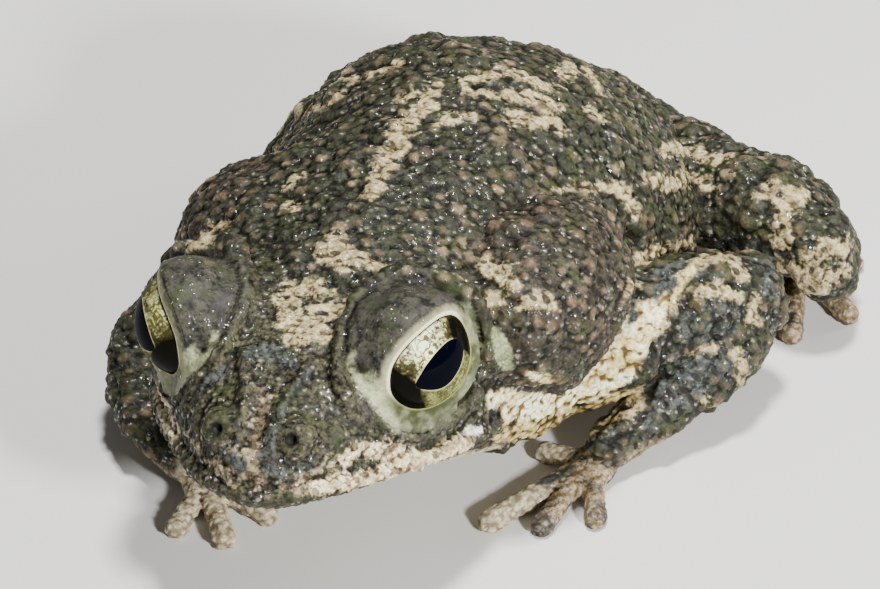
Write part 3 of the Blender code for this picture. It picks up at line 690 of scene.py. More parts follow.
def ball(name, matrix, segments=BALL_SEGMENTS):
    """A unit ball placed and stretched by a matrix."""
    bm = bmesh.new()
    bmesh.ops.create_uvsphere(bm, u_segments=segments, v_segments=segments * 2 // 3, radius=1.0)
    bm.transform(matrix)
    return mesh_object(name, bm)


def ellipsoid(name, centre, radii, turn=(0.0, 0.0, 0.0), frame=Matrix()):
    """A ball stretched to three radii, turned by degrees about x, y and z."""
    return ball(name, frame @ Matrix.Translation(centre) @ turned(turn) @ Matrix.Diagonal((*radii, 1.0)))


def limb(name, rows, frame=Matrix()):
    """A tapering tube with round ends through rows of x, y, z and radius."""
    path = spline(rows)
    data = bpy.data.curves.new(name, "CURVE")
    data.dimensions = "3D"
    data.bevel_depth = 1.0
    data.bevel_resolution = BEVEL_STEPS
    data.use_fill_caps = True
    line = data.splines.new("POLY")
    line.points.add(len(path) - 1)
    for point, (x, y, z, radius) in zip(line.points, path):
        point.co = (x, y, z, 1.0)
        point.radius = radius
    tube = bpy.data.objects.new(name, data)
    bpy.context.scene.collection.objects.link(tube)
    bpy.context.view_layer.update()
    mesh = bpy.data.meshes.new_from_object(tube.evaluated_get(bpy.context.evaluated_depsgraph_get()))
    bpy.data.objects.remove(tube)
    bm = bmesh.new()
    bm.from_mesh(mesh)
    bmesh.ops.remove_doubles(bm, verts=bm.verts, dist=WELD)
    bm.transform(frame)
    pieces = [mesh_object(name, bm)]
    for x, y, z, radius in (path[0], path[-1]):
        pieces.append(ellipsoid(name + "_end", Vector((x, y, z)), (radius,) * 3, frame=frame))
    return pieces


def extremity(name):
    """A hand or foot: a flat palm or sole, a stem to the wrist or heel and a tube to each digit's tip."""
    stem, palm, palm_radius, tips = EXTREMITIES[name]
    thickness = palm_radius * PALM_FLATNESS
    pieces = [ellipsoid(name, palm, (palm_radius, palm_radius, thickness))]
    pieces += limb(name + "_stem", (stem, (*palm, thickness)))
    palm = Vector(palm)
    for number, (x, y, radius) in enumerate(tips, 1):
        tip = Vector((x, y, DIGIT_Z))
        middle = palm.lerp(tip, DIGIT_MIDDLE) + Vector((0.0, 0.0, DIGIT_ARCH))
        root, waist = radius * DIGIT_ROOT_WIDTH, radius * DIGIT_WAIST_WIDTH
        pieces += limb(f"{name}_{number}", ((*palm, root), (*middle, waist), (*tip, radius)))
    return pieces


def limb_masses(name):
    """The soft masses of one limb piece."""
    return extremity(name) if name in EXTREMITIES else limb(name, LIMBS[name])


def body_masses():
    """The soft masses of head and trunk."""
    head = section_loft("skull", HEAD_SECTIONS, HEAD_POWERS)
    head.data.transform(head_matrix())
    trunk = section_loft("trunk", TRUNK_SECTIONS, TRUNK_POWERS)
    trunk.data.transform(Matrix.Translation((TRUNK_X, 0.0, 0.0)))
    pieces = [head, trunk]
    for sign in (1, -1):
        pieces.append(ellipsoid("brow", side(GLOBE, sign), (LID_R,) * 3, frame=head_matrix()))
    return pieces


def feature_masses():
    """Parotoid glands, crests, lids, nostril pads and lips."""
    pieces = [ellipsoid(name, *shape) for name, shape in PAROTOIDS.items()]
    for sign in (1, -1):
        pieces.append(ellipsoid("lids", side(GLOBE, sign), (LID_R,) * 3, frame=head_matrix()))
        for name, rows in CRESTS.items():
            pieces += limb(name, [(row[0] * sign, *row[1:]) for row in rows], head_matrix())
        for name, (centre, radii) in HEAD_LUMPS.items():
            pieces.append(ellipsoid(name, side(centre, sign), radii, frame=head_matrix()))
    return pieces


def evaluated(obj):
    """The object with its modifiers applied."""
    bpy.context.view_layer.update()
    mesh = bpy.data.meshes.new_from_object(obj.evaluated_get(bpy.context.evaluated_depsgraph_get()))
    obj.modifiers.clear()
    obj.data = mesh
    return obj


def joined(name, pieces):
    """One object holding every piece's mesh; the pieces are removed."""
    bm = bmesh.new()
    for piece in pieces:
        bm.from_mesh(piece.data)
        bpy.data.objects.remove(piece)
    return mesh_object(name, bm)


def fused(name, pieces, voxel):
    """The pieces as one closed skin of even quads."""
    obj = joined(name, pieces)
    remesh = obj.modifiers.new("skin", "REMESH")
    remesh.mode = "VOXEL"
    remesh.voxel_size = voxel
    return evaluated(obj)


def eased(obj, rounds):
    """The object smoothed, but hardly near the floor, where the thin digits are."""
    soft = obj.vertex_groups.new(name="soft")
    for vertex in obj.data.vertices:
        weight = (vertex.co.z - EASE_LOW) / (EASE_HIGH - EASE_LOW)
        soft.add((vertex.index,), min(1.0, max(EASE_LEAST, weight)), "REPLACE")
    smooth = obj.modifiers.new("ease", "SMOOTH")
    smooth.vertex_group = "soft"
    smooth.factor = 0.5
    smooth.iterations = rounds
    evaluated(obj)
    obj.vertex_groups.clear()
    return obj


def rounded(obj):
    """The object's quads split once on a smooth surface."""
    obj.modifiers.new("round", "SUBSURF").levels = 1
    return evaluated(obj)


def cut(obj, cutter, operation="DIFFERENCE"):
    """The object with one cutter taken away, kept or joined; the cutter is removed."""
    boolean = obj.modifiers.new("cut", "BOOLEAN")
    boolean.operation = operation
    boolean.solver = "MANIFOLD"
    boolean.object = cutter
    evaluated(obj)
    bpy.data.objects.remove(cutter)
    return obj


def gaze_turn():
    """Along the left lids, across them and out along the gaze, as columns, in the head frame."""
    along = (EYE_REAR - EYE_FRONT).normalized()
    along = (along - GAZE * along.dot(GAZE)).normalized()
    return Matrix((along, GAZE.cross(along), GAZE)).transposed().to_4x4()


def gaze_frame(sign):
    """From the gaze frame of one side's globe to the toad's frame; the right one is the left one mirrored."""
    mirror = Matrix.Diagonal((sign, 1.0, 1.0, 1.0))
    return head_matrix() @ mirror @ Matrix.Translation(GLOBE) @ gaze_turn()


def in_head(points):
    """Points of the toad's frame in the head frame."""
    back = np.array(head_matrix().inverted())
    return points @ back[:3, :3].T + back[:3, 3]


def from_nearer(points, centre, radii=(1.0, 1.0, 1.0)):
    """Points in the head frame from the left one of a mirrored pair of places, as shares of its radii."""
    at = in_head(points)
    at[:, 0] = np.abs(at[:, 0])
    return (at - np.array(centre)) / np.array(radii)


def in_gaze(points):
    """Points of the toad's frame in the gaze frame of the nearer globe."""
    return from_nearer(points, GLOBE) @ np.array(gaze_turn())[:3, :3]


def away_from(points, centre, radii=(1.0, 1.0, 1.0)):
    """Each point's distance from the nearer one of a mirrored pair of places."""
    return np.linalg.norm(from_nearer(points, centre, radii), axis=1)


def lid_map(at):
    """Gaze-frame points laid out flat round the gaze, in millimetres along the cornea."""
    angle = np.arccos(np.clip(at[:, 2] / np.linalg.norm(at, axis=1), -1.0, 1.0))
    return at[:, :2] / np.maximum(np.hypot(at[:, 0], at[:, 1]), 1e-9)[:, None] * angle[:, None] * CORNEA_R


def depth_inside(flat, outline):
    """How far flat points are inside a closed outline, and negative outside it."""
    a, b = outline, np.roll(outline, -1, axis=0)
    least = np.full(len(flat), np.inf)
    crossed = np.zeros(len(flat), bool)
    for (ax, ay), (bx, by) in zip(a, b):
        dx, dy = bx - ax, by - ay
        t = np.clip(((flat[:, 0] - ax) * dx + (flat[:, 1] - ay) * dy) / (dx * dx + dy * dy), 0.0, 1.0)
        least = np.minimum(least, np.hypot(flat[:, 0] - ax - t * dx, flat[:, 1] - ay - t * dy))
        spans = (ay > flat[:, 1]) != (by > flat[:, 1])
        crossed ^= spans & (flat[:, 0] < ax + (flat[:, 1] - ay) * dx / (dy if dy else 1.0))
    return np.where(crossed, least, -least)


def leaned(direction, angle):
    """The gaze leaned by an angle towards a direction."""
    flat = Vector((direction.x, direction.y, 0.0)).normalized() * math.sin(angle)
    return flat + Vector((0.0, 0.0, math.cos(angle)))


def eye_outline(pixels):
    """Where the camera sees a closed line of pixels on the left cornea, in the eye's gaze frame."""
    to_eye = gaze_frame(1).inverted()
    start = to_eye @ camera_place()
    turn = to_eye.to_3x3()
    points = []
    for pixel in pixels:
        ray = turn @ pixel_ray(pixel)
        half = start.dot(ray)
        room = half**2 - start.length_squared + CORNEA_R**2
        seen = (start - ray * (half + math.sqrt(max(0.0, room)))).normalized()
        points.append(leaned(seen, min(math.acos(seen.z), math.radians(WIDEST_LOOK))) * CORNEA_R)
    return [Vector(point).normalized() * CORNEA_R for point in spline(points, OUTLINE_STEPS, closed=True)]


def opening_cutter(place, outline):
    """A shell sector a little wider than the lids' opening, from inside the cornea to above the lids."""
    bm = bmesh.new()
    middle = sum(outline, Vector()) / len(outline)
    rims = []
    for p, q in zip(outline, outline[1:] + outline[:1]):
        outward = p.cross(q - p).normalized()
        if outward.dot(p - middle) < 0:
            outward.negate()
        rims.append((p + outward * CUT_ROOM).normalized())
    rings = [[bm.verts.new(place @ (rim * CUT_SHELL[0])) for rim in rims]]
    for share in CUT_STEPS:
        ring = [leaned(rim, math.acos(rim.z) * share) * CUT_SHELL[1] for rim in rims]
        rings.append([bm.verts.new(place @ point) for point in ring])
    bm.faces.new(rings[0])
    bm.faces.new(rings[-1])
    bridged(bm, rings)
    bmesh.ops.triangulate(bm, faces=bm.faces)
    return mesh_object("opening", bm)


def opened(skin):
    """Sockets, lid openings and nostrils cut into the skin."""
    outline = eye_outline(OPENING_PIXELS)
    for sign in (1, -1):
        place = gaze_frame(sign)
        socket = ball("socket", place @ Matrix.Scale(CORNEA_R + SOCKET_ROOM, 4))
        cut(skin, cut(socket, opening_cutter(place, outline), "UNION"))
        cut(skin, ellipsoid("nostril", side(NOSTRIL, sign), (NOSTRIL_R,) * 3, frame=head_matrix()))
    return skin


def bare_skin():
    """The whole toad's skin before its tubercles, and a search tree of it with the eyes still closed."""
    pieces = [rounded(eased(fused("trunk", body_masses(), FIRST_VOXEL), EASE_ROUNDS))]
    for name in (*LIMBS, *EXTREMITIES):
        voxel = DIGIT_VOXEL if name in EXTREMITIES else LIMB_VOXEL
        pieces.append(rounded(eased(fused(name, limb_masses(name), voxel), LIMB_EASE_ROUNDS)))
    skin = eased(fused("toad_skin", pieces + feature_masses(), SKIN_VOXEL), SKIN_EASE_ROUNDS)
    tree = BVHTree.FromPolygons([v.co.copy() for v in skin.data.vertices],
                                [tuple(p.vertices) for p in skin.data.polygons])
    return opened(skin), tree


def vectors(items, field):
    """A mesh field of three numbers per item as an array."""
    flat = np.empty(len(items) * 3)
    items.foreach_get(field, flat)
    return flat.reshape(-1, 3)


def smoothstep(low, high, x):
    """From 0 to 1 as x goes from low to high, level at both ends."""
    t = np.clip((x - low) / (high - low), 0.0, 1.0)
    return t * t * (3 - 2 * t)


def lattice_noise(points, size, seed):
    """Smooth noise from -1 to 1 with features of a size."""
    table = np.random.default_rng(seed).uniform(-1, 1, NOISE_TABLE)
    at = points / size
    cell = np.floor(at).astype(np.int64)
    part = at - cell
    part = part * part * (3 - 2 * part)
    total = np.zeros(len(points))
    for corner in range(8):
        offset = np.array([corner & 1, corner >> 1 & 1, corner >> 2 & 1])
        place = (cell + offset) @ NOISE_STRIDES
        weight = np.prod(np.where(offset, part, 1 - part), axis=1)
        total += weight * table[place % len(table)]
    return total


def fray(points, name):
    """The noise that frays a named edge."""
    height, size, seed = FRAYS[name]
    return height * lattice_noise(points, size, seed)


def spread_sites(points, spacing, seed, allowed):
    """Indices of points at least the spacing apart, drawn in a seeded order."""
    order = np.random.default_rng(seed).permutation(np.flatnonzero(allowed))
    cells = {}
    sites = []
    keys = np.floor(points / spacing).astype(int).tolist()
    rows = points.tolist()
    around = [(i, j, k) for i in (-1, 0, 1) for j in (-1, 0, 1) for k in (-1, 0, 1)]
    least = spacing**2
    for index in order.tolist():
        x, y, z = keys[index]
        px, py, pz = rows[index]
        near = (q for i, j, k in around for q in cells.get((x + i, y + j, z + k), ()))
        if any((px - q[0]) ** 2 + (py - q[1]) ** 2 + (pz - q[2]) ** 2 < least for q in near):
            continue
        cells.setdefault((x, y, z), []).append(rows[index])
        sites.append(index)
    return np.array(sites)


def nearest_sites(points, sites):
    """For each point which sites are nearest to it."""
    tree = KDTree(len(sites))
    for number, index in enumerate(sites):
        tree.insert(points[index], number)
    tree.balance()
    return np.array([[hit[1] for hit in tree.find_n(point, NEIGHBOURS)] for point in points.tolist()])


def bumps(points, normals, rough, kind):
    """One kind of tubercle: height, nearness to a tip, depth inside the pore ahead, and a draw for each."""
    spacing, radii, heights, seed = TUBERCLES[kind]
    squeezed = points * ROW_SQUEEZE
    sites = spread_sites(squeezed, spacing, seed, rough > LEAST_ROUGH)
    which = nearest_sites(squeezed, sites)
    up = normals[sites]
    ahead = np.array((0.0, -1.0, 0.0)) + up * up[:, 1:2]
    ahead /= np.maximum(np.linalg.norm(ahead, axis=1), 0.2)[:, None]
    beside = np.cross(up, ahead)
    draw = np.random.default_rng(seed)
    size = draw.uniform(0.0, 1.0, len(sites))
    radius = radii[0] + (radii[1] - radii[0]) * size
    rise = heights[0] + (heights[1] - heights[0]) * size
    hole = draw.uniform(*PORE_RADII, len(sites))
    height, tip = np.zeros(len(points)), np.zeros(len(points))
    pore = np.full(len(points), NO_PORE)
    for site in which.T:
        offset = points - points[sites][site]
        forward = (offset * ahead[site]).sum(axis=1)
        sideways = (offset * beside[site]).sum(axis=1)
        away = np.linalg.norm(offset * ROW_SQUEEZE, axis=1) / radius[site]
        share = np.clip(1 - (away * (1 + LEAN * np.clip(forward / radius[site], -1.0, 1.0))) ** 2, 0.0, 1.0)
        height = np.maximum(height, rise[site] * share)
        tip = np.maximum(tip, share**2)
        beyond = forward - PORE_AHEAD * radius[site]
        pore = np.maximum(pore, hole[site] - np.hypot(beyond * PORE_SQUEEZE[0], sideways * PORE_SQUEEZE[1]))
    return height * rough, tip, pore, draw.uniform(0.0, 1.0, len(sites))[which[:, 0]]


def over_mouth(points):
    """How high each point is over the mouth line, and which points are in front of its rear end."""
    at = in_head(points)
    (front_y, front_z), (rear_y, rear_z) = MOUTH_LINE
    slope = (rear_z - front_z) / (rear_y - front_y)
    return at[:, 2] - front_z - slope * (at[:, 1] - front_y), at[:, 1] < rear_y


def stroke_dots(tree, stroke, mirrored=False):
    """Points of the skin under a stroke seen by the camera, with the stroke's radius in millimetres there."""
    start = camera_place()
    dots = []
    for (ax, ay, ar), (bx, by, br) in zip(stroke, stroke[1:] or stroke):
        count = max(1, int(math.hypot(bx - ax, by - ay) / STROKE_STEP))
        for i in range(count + 1):
            t = i / count
            hit, _, _, depth = tree.ray_cast(start, pixel_ray((ax + (bx - ax) * t, ay + (by - ay) * t)))
            if hit is None:
                continue
            radius = (ar + (br - ar) * t) * depth / FOCAL
            if mirrored:
                at = head_matrix().inverted() @ hit
                hit = tree.find_nearest(head_matrix() @ side(at, -1))[0]
            dots.append((*hit, radius))
    return dots


def stroke_field(points, dots, reach=MARK_REACH):
    """How far each point is inside the strokes, in millimetres, and negative outside them."""
    inside = np.full(len(points), -reach)
    for x, y, z, radius in dots:
        near = np.flatnonzero(np.abs(points[:, 1] - y) < radius + reach)
        away = np.linalg.norm(points[near] - (x, y, z), axis=1)
        inside[near] = np.maximum(inside[near], radius - away)
    return inside


def all_dots(tree, strokes, both):
    """Dots of strokes, with the head's mirrored ones, or with those low on the left side mirrored."""
    dots = []
    for stroke in strokes:
        seen = stroke_dots(tree, stroke)
        dots += seen
        if both:
            dots += stroke_dots(tree, stroke, mirrored=True)
        else:
            low = [dot for dot in seen if dot[0] > MIRRORED_FROM and dot[2] < MIRRORED_BELOW]
            dots += [(*tree.find_nearest((2 * TRUNK_X - x, y, z))[0], radius) for x, y, z, radius in low]
    return dots


def line_relief(points, tree):
    """Height of the ridges less the depth of the grooves, and how much each point is in a groove."""
    relief = np.zeros(len(points))
    shade = np.zeros(len(points))
    for lines, both, sense in ((GROOVES, False, -1), (HEAD_GROOVES, True, -1), (HEAD_RIDGES, True, 1)):
        for stroke, depth in lines:
            inside = stroke_field(points, all_dots(tree, (stroke,), both), GROOVE_REACH)
            relief += sense * depth * smoothstep(*GROOVE_DEEPENS, inside)
            if sense < 0:
                shade = np.maximum(shade, smoothstep(*GROOVE_DARKENS, inside))
    over, ahead = over_mouth(points + fray(points, "mouth")[:, None])
    mouth = np.exp(-((over / MOUTH_WIDTH) ** 2)) * ahead
    return relief - MOUTH_DEPTH * mouth, np.maximum(shade, mouth)


def hollowness(mesh, points, normals):
    """How far each point lies under the mean of its surroundings, in millimetres."""
    edges = np.empty(len(mesh.edges) * 2, int)
    mesh.edges.foreach_get("vertices", edges)
    a, b = edges[0::2], edges[1::2]
    count = np.bincount(edges, minlength=len(points))
    mean = points.copy()
    for _ in range(HOLLOW_ROUNDS):
        mean = np.stack([(np.bincount(a, mean[b, k], len(points)) + np.bincount(b, mean[a, k], len(points)))
                         / count for k in range(3)], axis=1)
    return ((mean - points) * normals).sum(axis=1)


def areas(points):
    """Smooth weights of the skin's areas, from 0 to 1, at each point."""
    glands = np.zeros(len(points))
    for centre, radii, turn in PAROTOIDS.values():
        place = Matrix.Translation(centre) @ turned(turn) @ Matrix.Diagonal((*radii, 1.0))
        place = np.array(place.inverted())
        at = points @ place[:3, :3].T + place[:3, 3]
        glands = np.maximum(glands, 1 - smoothstep(*GLAND_AREA, np.linalg.norm(at, axis=1)))
    below = 1 - smoothstep(*BELLY_AREA, points[:, 2] + fray(points, "belly"))
    trunk = smoothstep(*TRUNK_AREA, np.abs(points[:, 0] - TRUNK_X))
    over, ahead = over_mouth(points)
    chin = smoothstep(*CHIN_AREA, fray(points, "chin") - over) * ahead * trunk
    return {
        "hole": 1 - smoothstep(*NOSTRIL_AREA, away_from(points, NOSTRIL)),
        "lid": 1 - smoothstep(*LID_AREA, away_from(points, GLOBE)),
        "drum_area": 1 - smoothstep(*DRUM_AREA, away_from(points, TYMPANUM, TYMPANUM_RADII)),
        "below": np.maximum(below * trunk, CHIN_SHARE * chin),
        "snout": 1 - smoothstep(*SNOUT_AREA, in_head(points)[:, 1]),
        "digits": 1 - smoothstep(*DIGIT_AREA, points[:, 2]),
        "gland": glands,
    }


def paint_fields(points, normals, tree):
    """What the colours are mixed from: strokes in millimetres inside them, areas from 0 to 1."""
    fields = areas(points)
    for marks, both in ((MARKS, False), (HEAD_MARKS, True)):
        for name, strokes in marks.items():
            fields[name] = stroke_field(points, all_dots(tree, strokes, both))
    near = np.flatnonzero(away_from(points, GLOBE) < EYE_REACH)
    at = in_gaze(points[near])
    outline = lid_map(np.array(eye_outline(OPENING_PIXELS)))
    above = (np.linalg.norm(at, axis=1) - LID_R - LID_ROOM) * 2
    fields["margin"] = np.full(len(points), FAR_FROM_LIDS)
    fields["margin"][near] = np.maximum(-depth_inside(lid_map(at), outline), above)
    fields["upper"] = np.zeros(len(points))
    fields["upper"][near] = smoothstep(*UPPER_LID, at[:, 1])
    fields["far"] = smoothstep(*FAR_SIDE, normals @ np.array(camera_axes()[2]))
    return fields


def set_fields(mesh, fields):
    """Fields written on a mesh as attributes."""
    for name, values in fields.items():
        mesh.attributes.new(name, "FLOAT", "POINT").data.foreach_set("value", values)


def grown_skin():
    """The skin with its relief, and a search tree of it before its relief and eye openings."""
    skin, tree = bare_skin()
    mesh = skin.data
    points = vectors(mesh.vertices, "co")
    normals = vectors(mesh.vertex_normals, "vector")
    fields = paint_fields(points, normals, tree)
    lines, fields["gap"] = line_relief(points, tree)
    digits, snout = fields["digits"], fields["snout"]
    smooth = np.maximum(fields["lid"], fields["drum_area"])
    for name in ("drum", "white"):
        smooth = np.maximum(smooth, smoothstep(*SMOOTH_EDGE, fields[name]))
    marked = smoothstep(*GRANULAR_EDGE, np.maximum(fields["cream"], fields["gold"]))
    granular = np.maximum(marked, fields["below"]) * (1 - smooth) * (1 - digits)
    rough = (1 - smooth) * (1 - granular) * (1 - CALM_SNOUT * snout) * (1 - CALM_DIGITS * digits)
    rough *= 1 - CALM_LID * smoothstep(*PALE_LID_EDGE, fields["lid_pale"])
    warts, wart_tip, _, _ = bumps(points, normals, rough, "wart")
    cones, cone_tip, fields["pore"], fields["bead"] = bumps(points, normals, rough, "cone")
    fields["pore"] = np.where(rough > LEAST_PORED, fields["pore"], NO_PORE)
    fine = (1 - CALM_GRAIN * smooth) * (1 - granular) * (1 + BUSY_SNOUT * snout)
    fine *= smoothstep(NOSTRIL_R, 2 * NOSTRIL_R, away_from(points, NOSTRIL))
    grains, fields["grain"], _, fields["speck"] = bumps(points, normals, fine, "grain")
    fields["between"] = (1 - smoothstep(*GRAIN_FOOT, fields["grain"])) * np.clip(fine, 0.0, 1.0)
    pebbles, fields["pebble"], _, _ = bumps(points, normals, granular, "pebble")
    folds = sum(rise * lattice_noise(points * ROW_SQUEEZE, size, FOLD_SEED) for size, rise in FOLDS)
    folds -= sum(rise * np.abs(lattice_noise(points * WRINKLE_SQUEEZE, size, WRINKLE_SEED))
                 for size, rise in WRINKLES)
    middle, width, rise = NOSTRIL_RING
    ring = rise * np.exp(-(((away_from(points, NOSTRIL) - middle) / width) ** 2))
    height = ring + lines + warts + cones + grains + pebbles + folds * rough
    height[away_from(points, GLOBE) < CORNEA_R + SOCKET_CALM] = 0.0
    points += normals * height[:, None]
    points[:, 2] = np.maximum(points[:, 2], FLOOR)
    mesh.vertices.foreach_set("co", points.ravel())
    mesh.update()
    fields["tip"] = np.maximum(WART_TIP_SHARE * wart_tip, cone_tip) * rough
    fields["hollow"] = hollowness(mesh, points, normals)
    fields["granular"] = granular
    set_fields(mesh, fields)
    mesh.shade_smooth()
    return skin, tree


def brought_in(obj):
    """The object moved from the toad's frame in millimetres into the row's frame in metres."""
    obj.data.transform(Matrix.Scale(MM, 4) @ Matrix.Translation(-ORIGIN))
    obj.data.update()
    return obj


class Look:
    """A material put together from small steps on its node tree."""

    def __init__(self, name):
        self.material = bpy.data.materials.new(name)
        self.material.use_nodes = True
        self.tree = self.material.node_tree
        self.shader = self.tree.nodes["Principled BSDF"]
        self.place = self.tree.nodes.new("ShaderNodeTexCoord").outputs["Object"]

    def node(self, kind, inputs, **settings):
        """A node with its settings, its inputs linked or set by name or number."""
        node = self.tree.nodes.new("ShaderNode" + kind)
        for key, value in settings.items():
            setattr(node, key, value)
        for key, value in inputs.items():
            self.feed(node.inputs[key], value)
        return node

    def feed(self, socket, value):
        """A socket linked to another or set to a value."""
        if isinstance(value, bpy.types.NodeSocket):
            self.tree.links.new(value, socket)
        elif isinstance(value, tuple) and len(value) == 3 and socket.type == "RGBA":
            socket.default_value = (*value, 1.0)
        else:
            socket.default_value = value

    def field(self, name):
        return self.node("Attribute", {}, attribute_name=name).outputs["Fac"]

    def math(self, operation, a, b=0.0):
        return self.node("Math", {0: a, 1: b}, operation=operation).outputs[0]

    def add(self, *terms):
        total = terms[0]
        for term in terms[1:]:
            total = self.math("ADD", total, term)
        return total

    def times(self, a, b):
        return self.math("MULTIPLY", a, b)

    def step(self, value, low, high, start=0.0, end=1.0):
        """A smooth step from start to end as the value goes from low to high."""
        inputs = {"Value": value, "From Min": low, "From Max": high, "To Min": start, "To Max": end}
        return self.node("MapRange", inputs, interpolation_type="SMOOTHSTEP").outputs["Result"]

    def blend(self, share, a, b, way="MIX"):
        """The colour a, going over to b, or to a times b, with the share."""
        return self.node("Mix", {0: share, 6: a, 7: b}, data_type="RGBA", blend_type=way).outputs[2]

    def noise(self, size, detail=2.0, distortion=0.0):
        """Noise about zero with features of a size in millimetres."""
        inputs = {"Vector": self.place, "Scale": 1 / (size * MM), "Detail": detail, "Distortion": distortion}
        return self.math("SUBTRACT", self.node("TexNoise", inputs).outputs["Fac"], 0.5)

    def cells(self, size):
        """Distance to the nearest of scattered points, in cells of a size in millimetres."""
        inputs = {"Vector": self.place, "Scale": 1 / (size * MM)}
        return self.node("TexVoronoi", inputs).outputs["Distance"]

    def finished(self, values):
        """The material, with the shader's sockets linked or set by name."""
        for name, value in values.items():
            self.feed(self.shader.inputs[name], value)
        return self.material


def skin_material():
    """Dark granular skin with pale blotches, brown glands, a creamy side and smooth lids, with painted shade
    in its crevices and hollows and painted highlights on lit grains.
    """
    look = Look("toad_skin")
    add, blend, field, step, times = look.add, look.blend, look.field, look.step, look.times
    fine = look.noise(0.11, 3.0)
    small = look.noise(0.42, 3.0)
    olive = look.noise(1.05, 3.0)
    violet = look.noise(0.75, 3.0)
    broad = look.noise(1.6)
    wide = look.noise(4.0)
    cells = look.cells(0.13)
    wobble = add(times(small, 0.8), times(broad, 0.35), times(fine, 0.25))
    fleck = add(small, times(fine, 0.8))
    soft = add(small, broad)
    tip, bead, grain, speck, upper, margin, on_lid, granular = (field(name) for name in (
        "tip", "bead", "grain", "speck", "upper", "margin", "lid", "granular"))

    def mask(name):
        """Share of a kind of mark, its edge swayed by noise."""
        low, high, sway = MARK_EDGES[name]
        return step(add(field(name), times(wobble, sway)), low, high)

    def mottled(name, source=fleck):
        """A named pair of colours mixed by a noise."""
        dark, light, reach = MOTTLED[name]
        return blend(step(source, -reach, reach), dark, light)

    def clouded(name):
        """A mottled colour with cloudy patches of green and of purple grey."""
        green, purple = TINTS[name]
        colour = blend(step(olive, 0.0, 0.18, 0.0, 0.6), mottled(name), green)
        return blend(step(violet, 0.03, 0.2, 0.0, 0.5), colour, purple)

    def tipped(colour, tip_colour, most):
        """A colour going over to another towards the tubercles' tips."""
        return blend(step(tip, 0.2, 0.9, 0.0, most), colour, tip_colour)

    # Ground colours of back, glands, snout and digits
    skin_tips, gland_tips = (blend(step(bead, 0.3, 0.8), *pair) for pair in (SKIN_TIPS, GLAND_TIPS))
    skin_tips = blend(step(add(bead, times(broad, 0.5)), 0.86, 0.98), skin_tips, BRIGHT_TIP)
    gland = times(field("gland"), step(broad, -0.2, 0.15, 0.35, 1.0))
    colour = tipped(clouded("skin"), skin_tips, 0.7)
    colour = blend(gland, colour, tipped(clouded("gland"), gland_tips, 0.8))
    colour = blend(times(field("snout"), 0.9), colour, clouded("snout"))
    for name, low, high in (("tan", 0.3, 0.6), ("lip", 0.15, 0.35)):
        grained = blend(step(speck, low, high), mottled(name), mottled(name + "_grain"))
        colour = blend(mask(name), colour, grained)
    blotches = step(add(broad, times(fleck, 0.6)), -0.03, 0.08)
    digit = blend(blotches, mottled("digit"), mottled("digit_dark"))
    colour = blend(times(field("digits"), 0.9), colour, digit)

    # Pale marks and underside, then the granular side with its lower band darkened as painted shade, and the
    # dark marks
    unseen = times(step(add(wide, times(small, 0.4)), 0.05, 0.12), field("far"))
    pale = look.math("MAXIMUM", mask("pale"), unseen)
    pale = times(pale, step(add(small, fine), -0.26, -0.06, 0.3, 1.0))
    colour = blend(pale, colour, mottled("pale"))
    colour = blend(step(field("below"), 0.25, 0.7), colour, mottled("belly"))
    # Painted shade between the pebbles of the granular marks
    for name, (gap_shade, low, high) in PEBBLE_GAP_SHADE.items():
        pebbled = blend(step(field("pebble"), low, high), gap_shade, mottled(name, soft))
        colour = blend(mask(name), colour, pebbled)
    colour = blend(times(mask("dark"), step(tip, 0.5, 0.95, 1.0, 0.45)), colour, clouded("dark"))

    # Lids, their rims and edges, the upper edge lightened by a painted highlight, and the eardrum
    lid = blend(step(upper, 0.05, 0.5), mottled("lower_lid", soft), clouded("lid"))
    colour = blend(times(on_lid, 0.95), colour, lid)
    colour = blend(mask("lid_pale"), colour, mottled("lid_pale", add(broad, fine)))
    near_rim = times(step(add(margin, times(small, 0.3)), 0.0, 0.26, 1.0, 0.0), on_lid)
    colour = blend(near_rim, colour, blend(upper, mottled("lower_rim", soft), UPPER_RIM))
    past_edge = look.math("SUBTRACT", margin, step(upper, 0.0, 1.0, -0.05, 0.0))
    colour = blend(step(past_edge, 0.0, 0.06, 1.0, 0.0), colour, blend(upper, *LID_EDGES_WITH_HIGHLIGHT))
    colour = blend(mask("drum"), colour, mottled("drum"))
    colour = blend(mask("white"), colour, WHITE_SPOT)

    # Painted shade between the grains and in hollows, grooves, pores and nostrils, and painted highlights on
    # lit grains
    off_lid = step(on_lid, 0.0, 0.5, 1.0, 0.15)
    between = times(field("between"), step(field("digits"), 0.0, 1.0, 0.5, 0.9))
    crevice = times(look.math("MAXIMUM", between, step(cells, 0.45, 0.75, 0.0, 0.55)), off_lid)
    colour = blend(crevice, colour, CREVICE, "MULTIPLY")
    # Painted highlight on the tips of some grains
    grain_highlight = times(step(grain, 0.35, 0.95), step(speck, 0.6, 1.0, 0.0, 0.45))
    colour = blend(times(grain_highlight, step(on_lid, 0.0, 0.3, 1.0, 0.0)), colour, GRAIN_HIGHLIGHT)
    hollow = times(step(field("hollow"), 0.002, 0.035, 0.0, 0.9), step(granular, 0.2, 0.8, 1.0, 0.7))
    colour = blend(hollow, colour, HOLLOW, "MULTIPLY")
    # Painted shade in the grooves and along the mouth line
    colour = blend(times(field("gap"), 0.85), colour, GROOVE)
    pore = step(add(field("pore"), times(fine, 0.1)), -0.03, 0.02, 0.0, 0.88)
    colour = blend(pore, colour, PORE)
    colour = blend(field("hole"), colour, NOSTRIL_DARK)

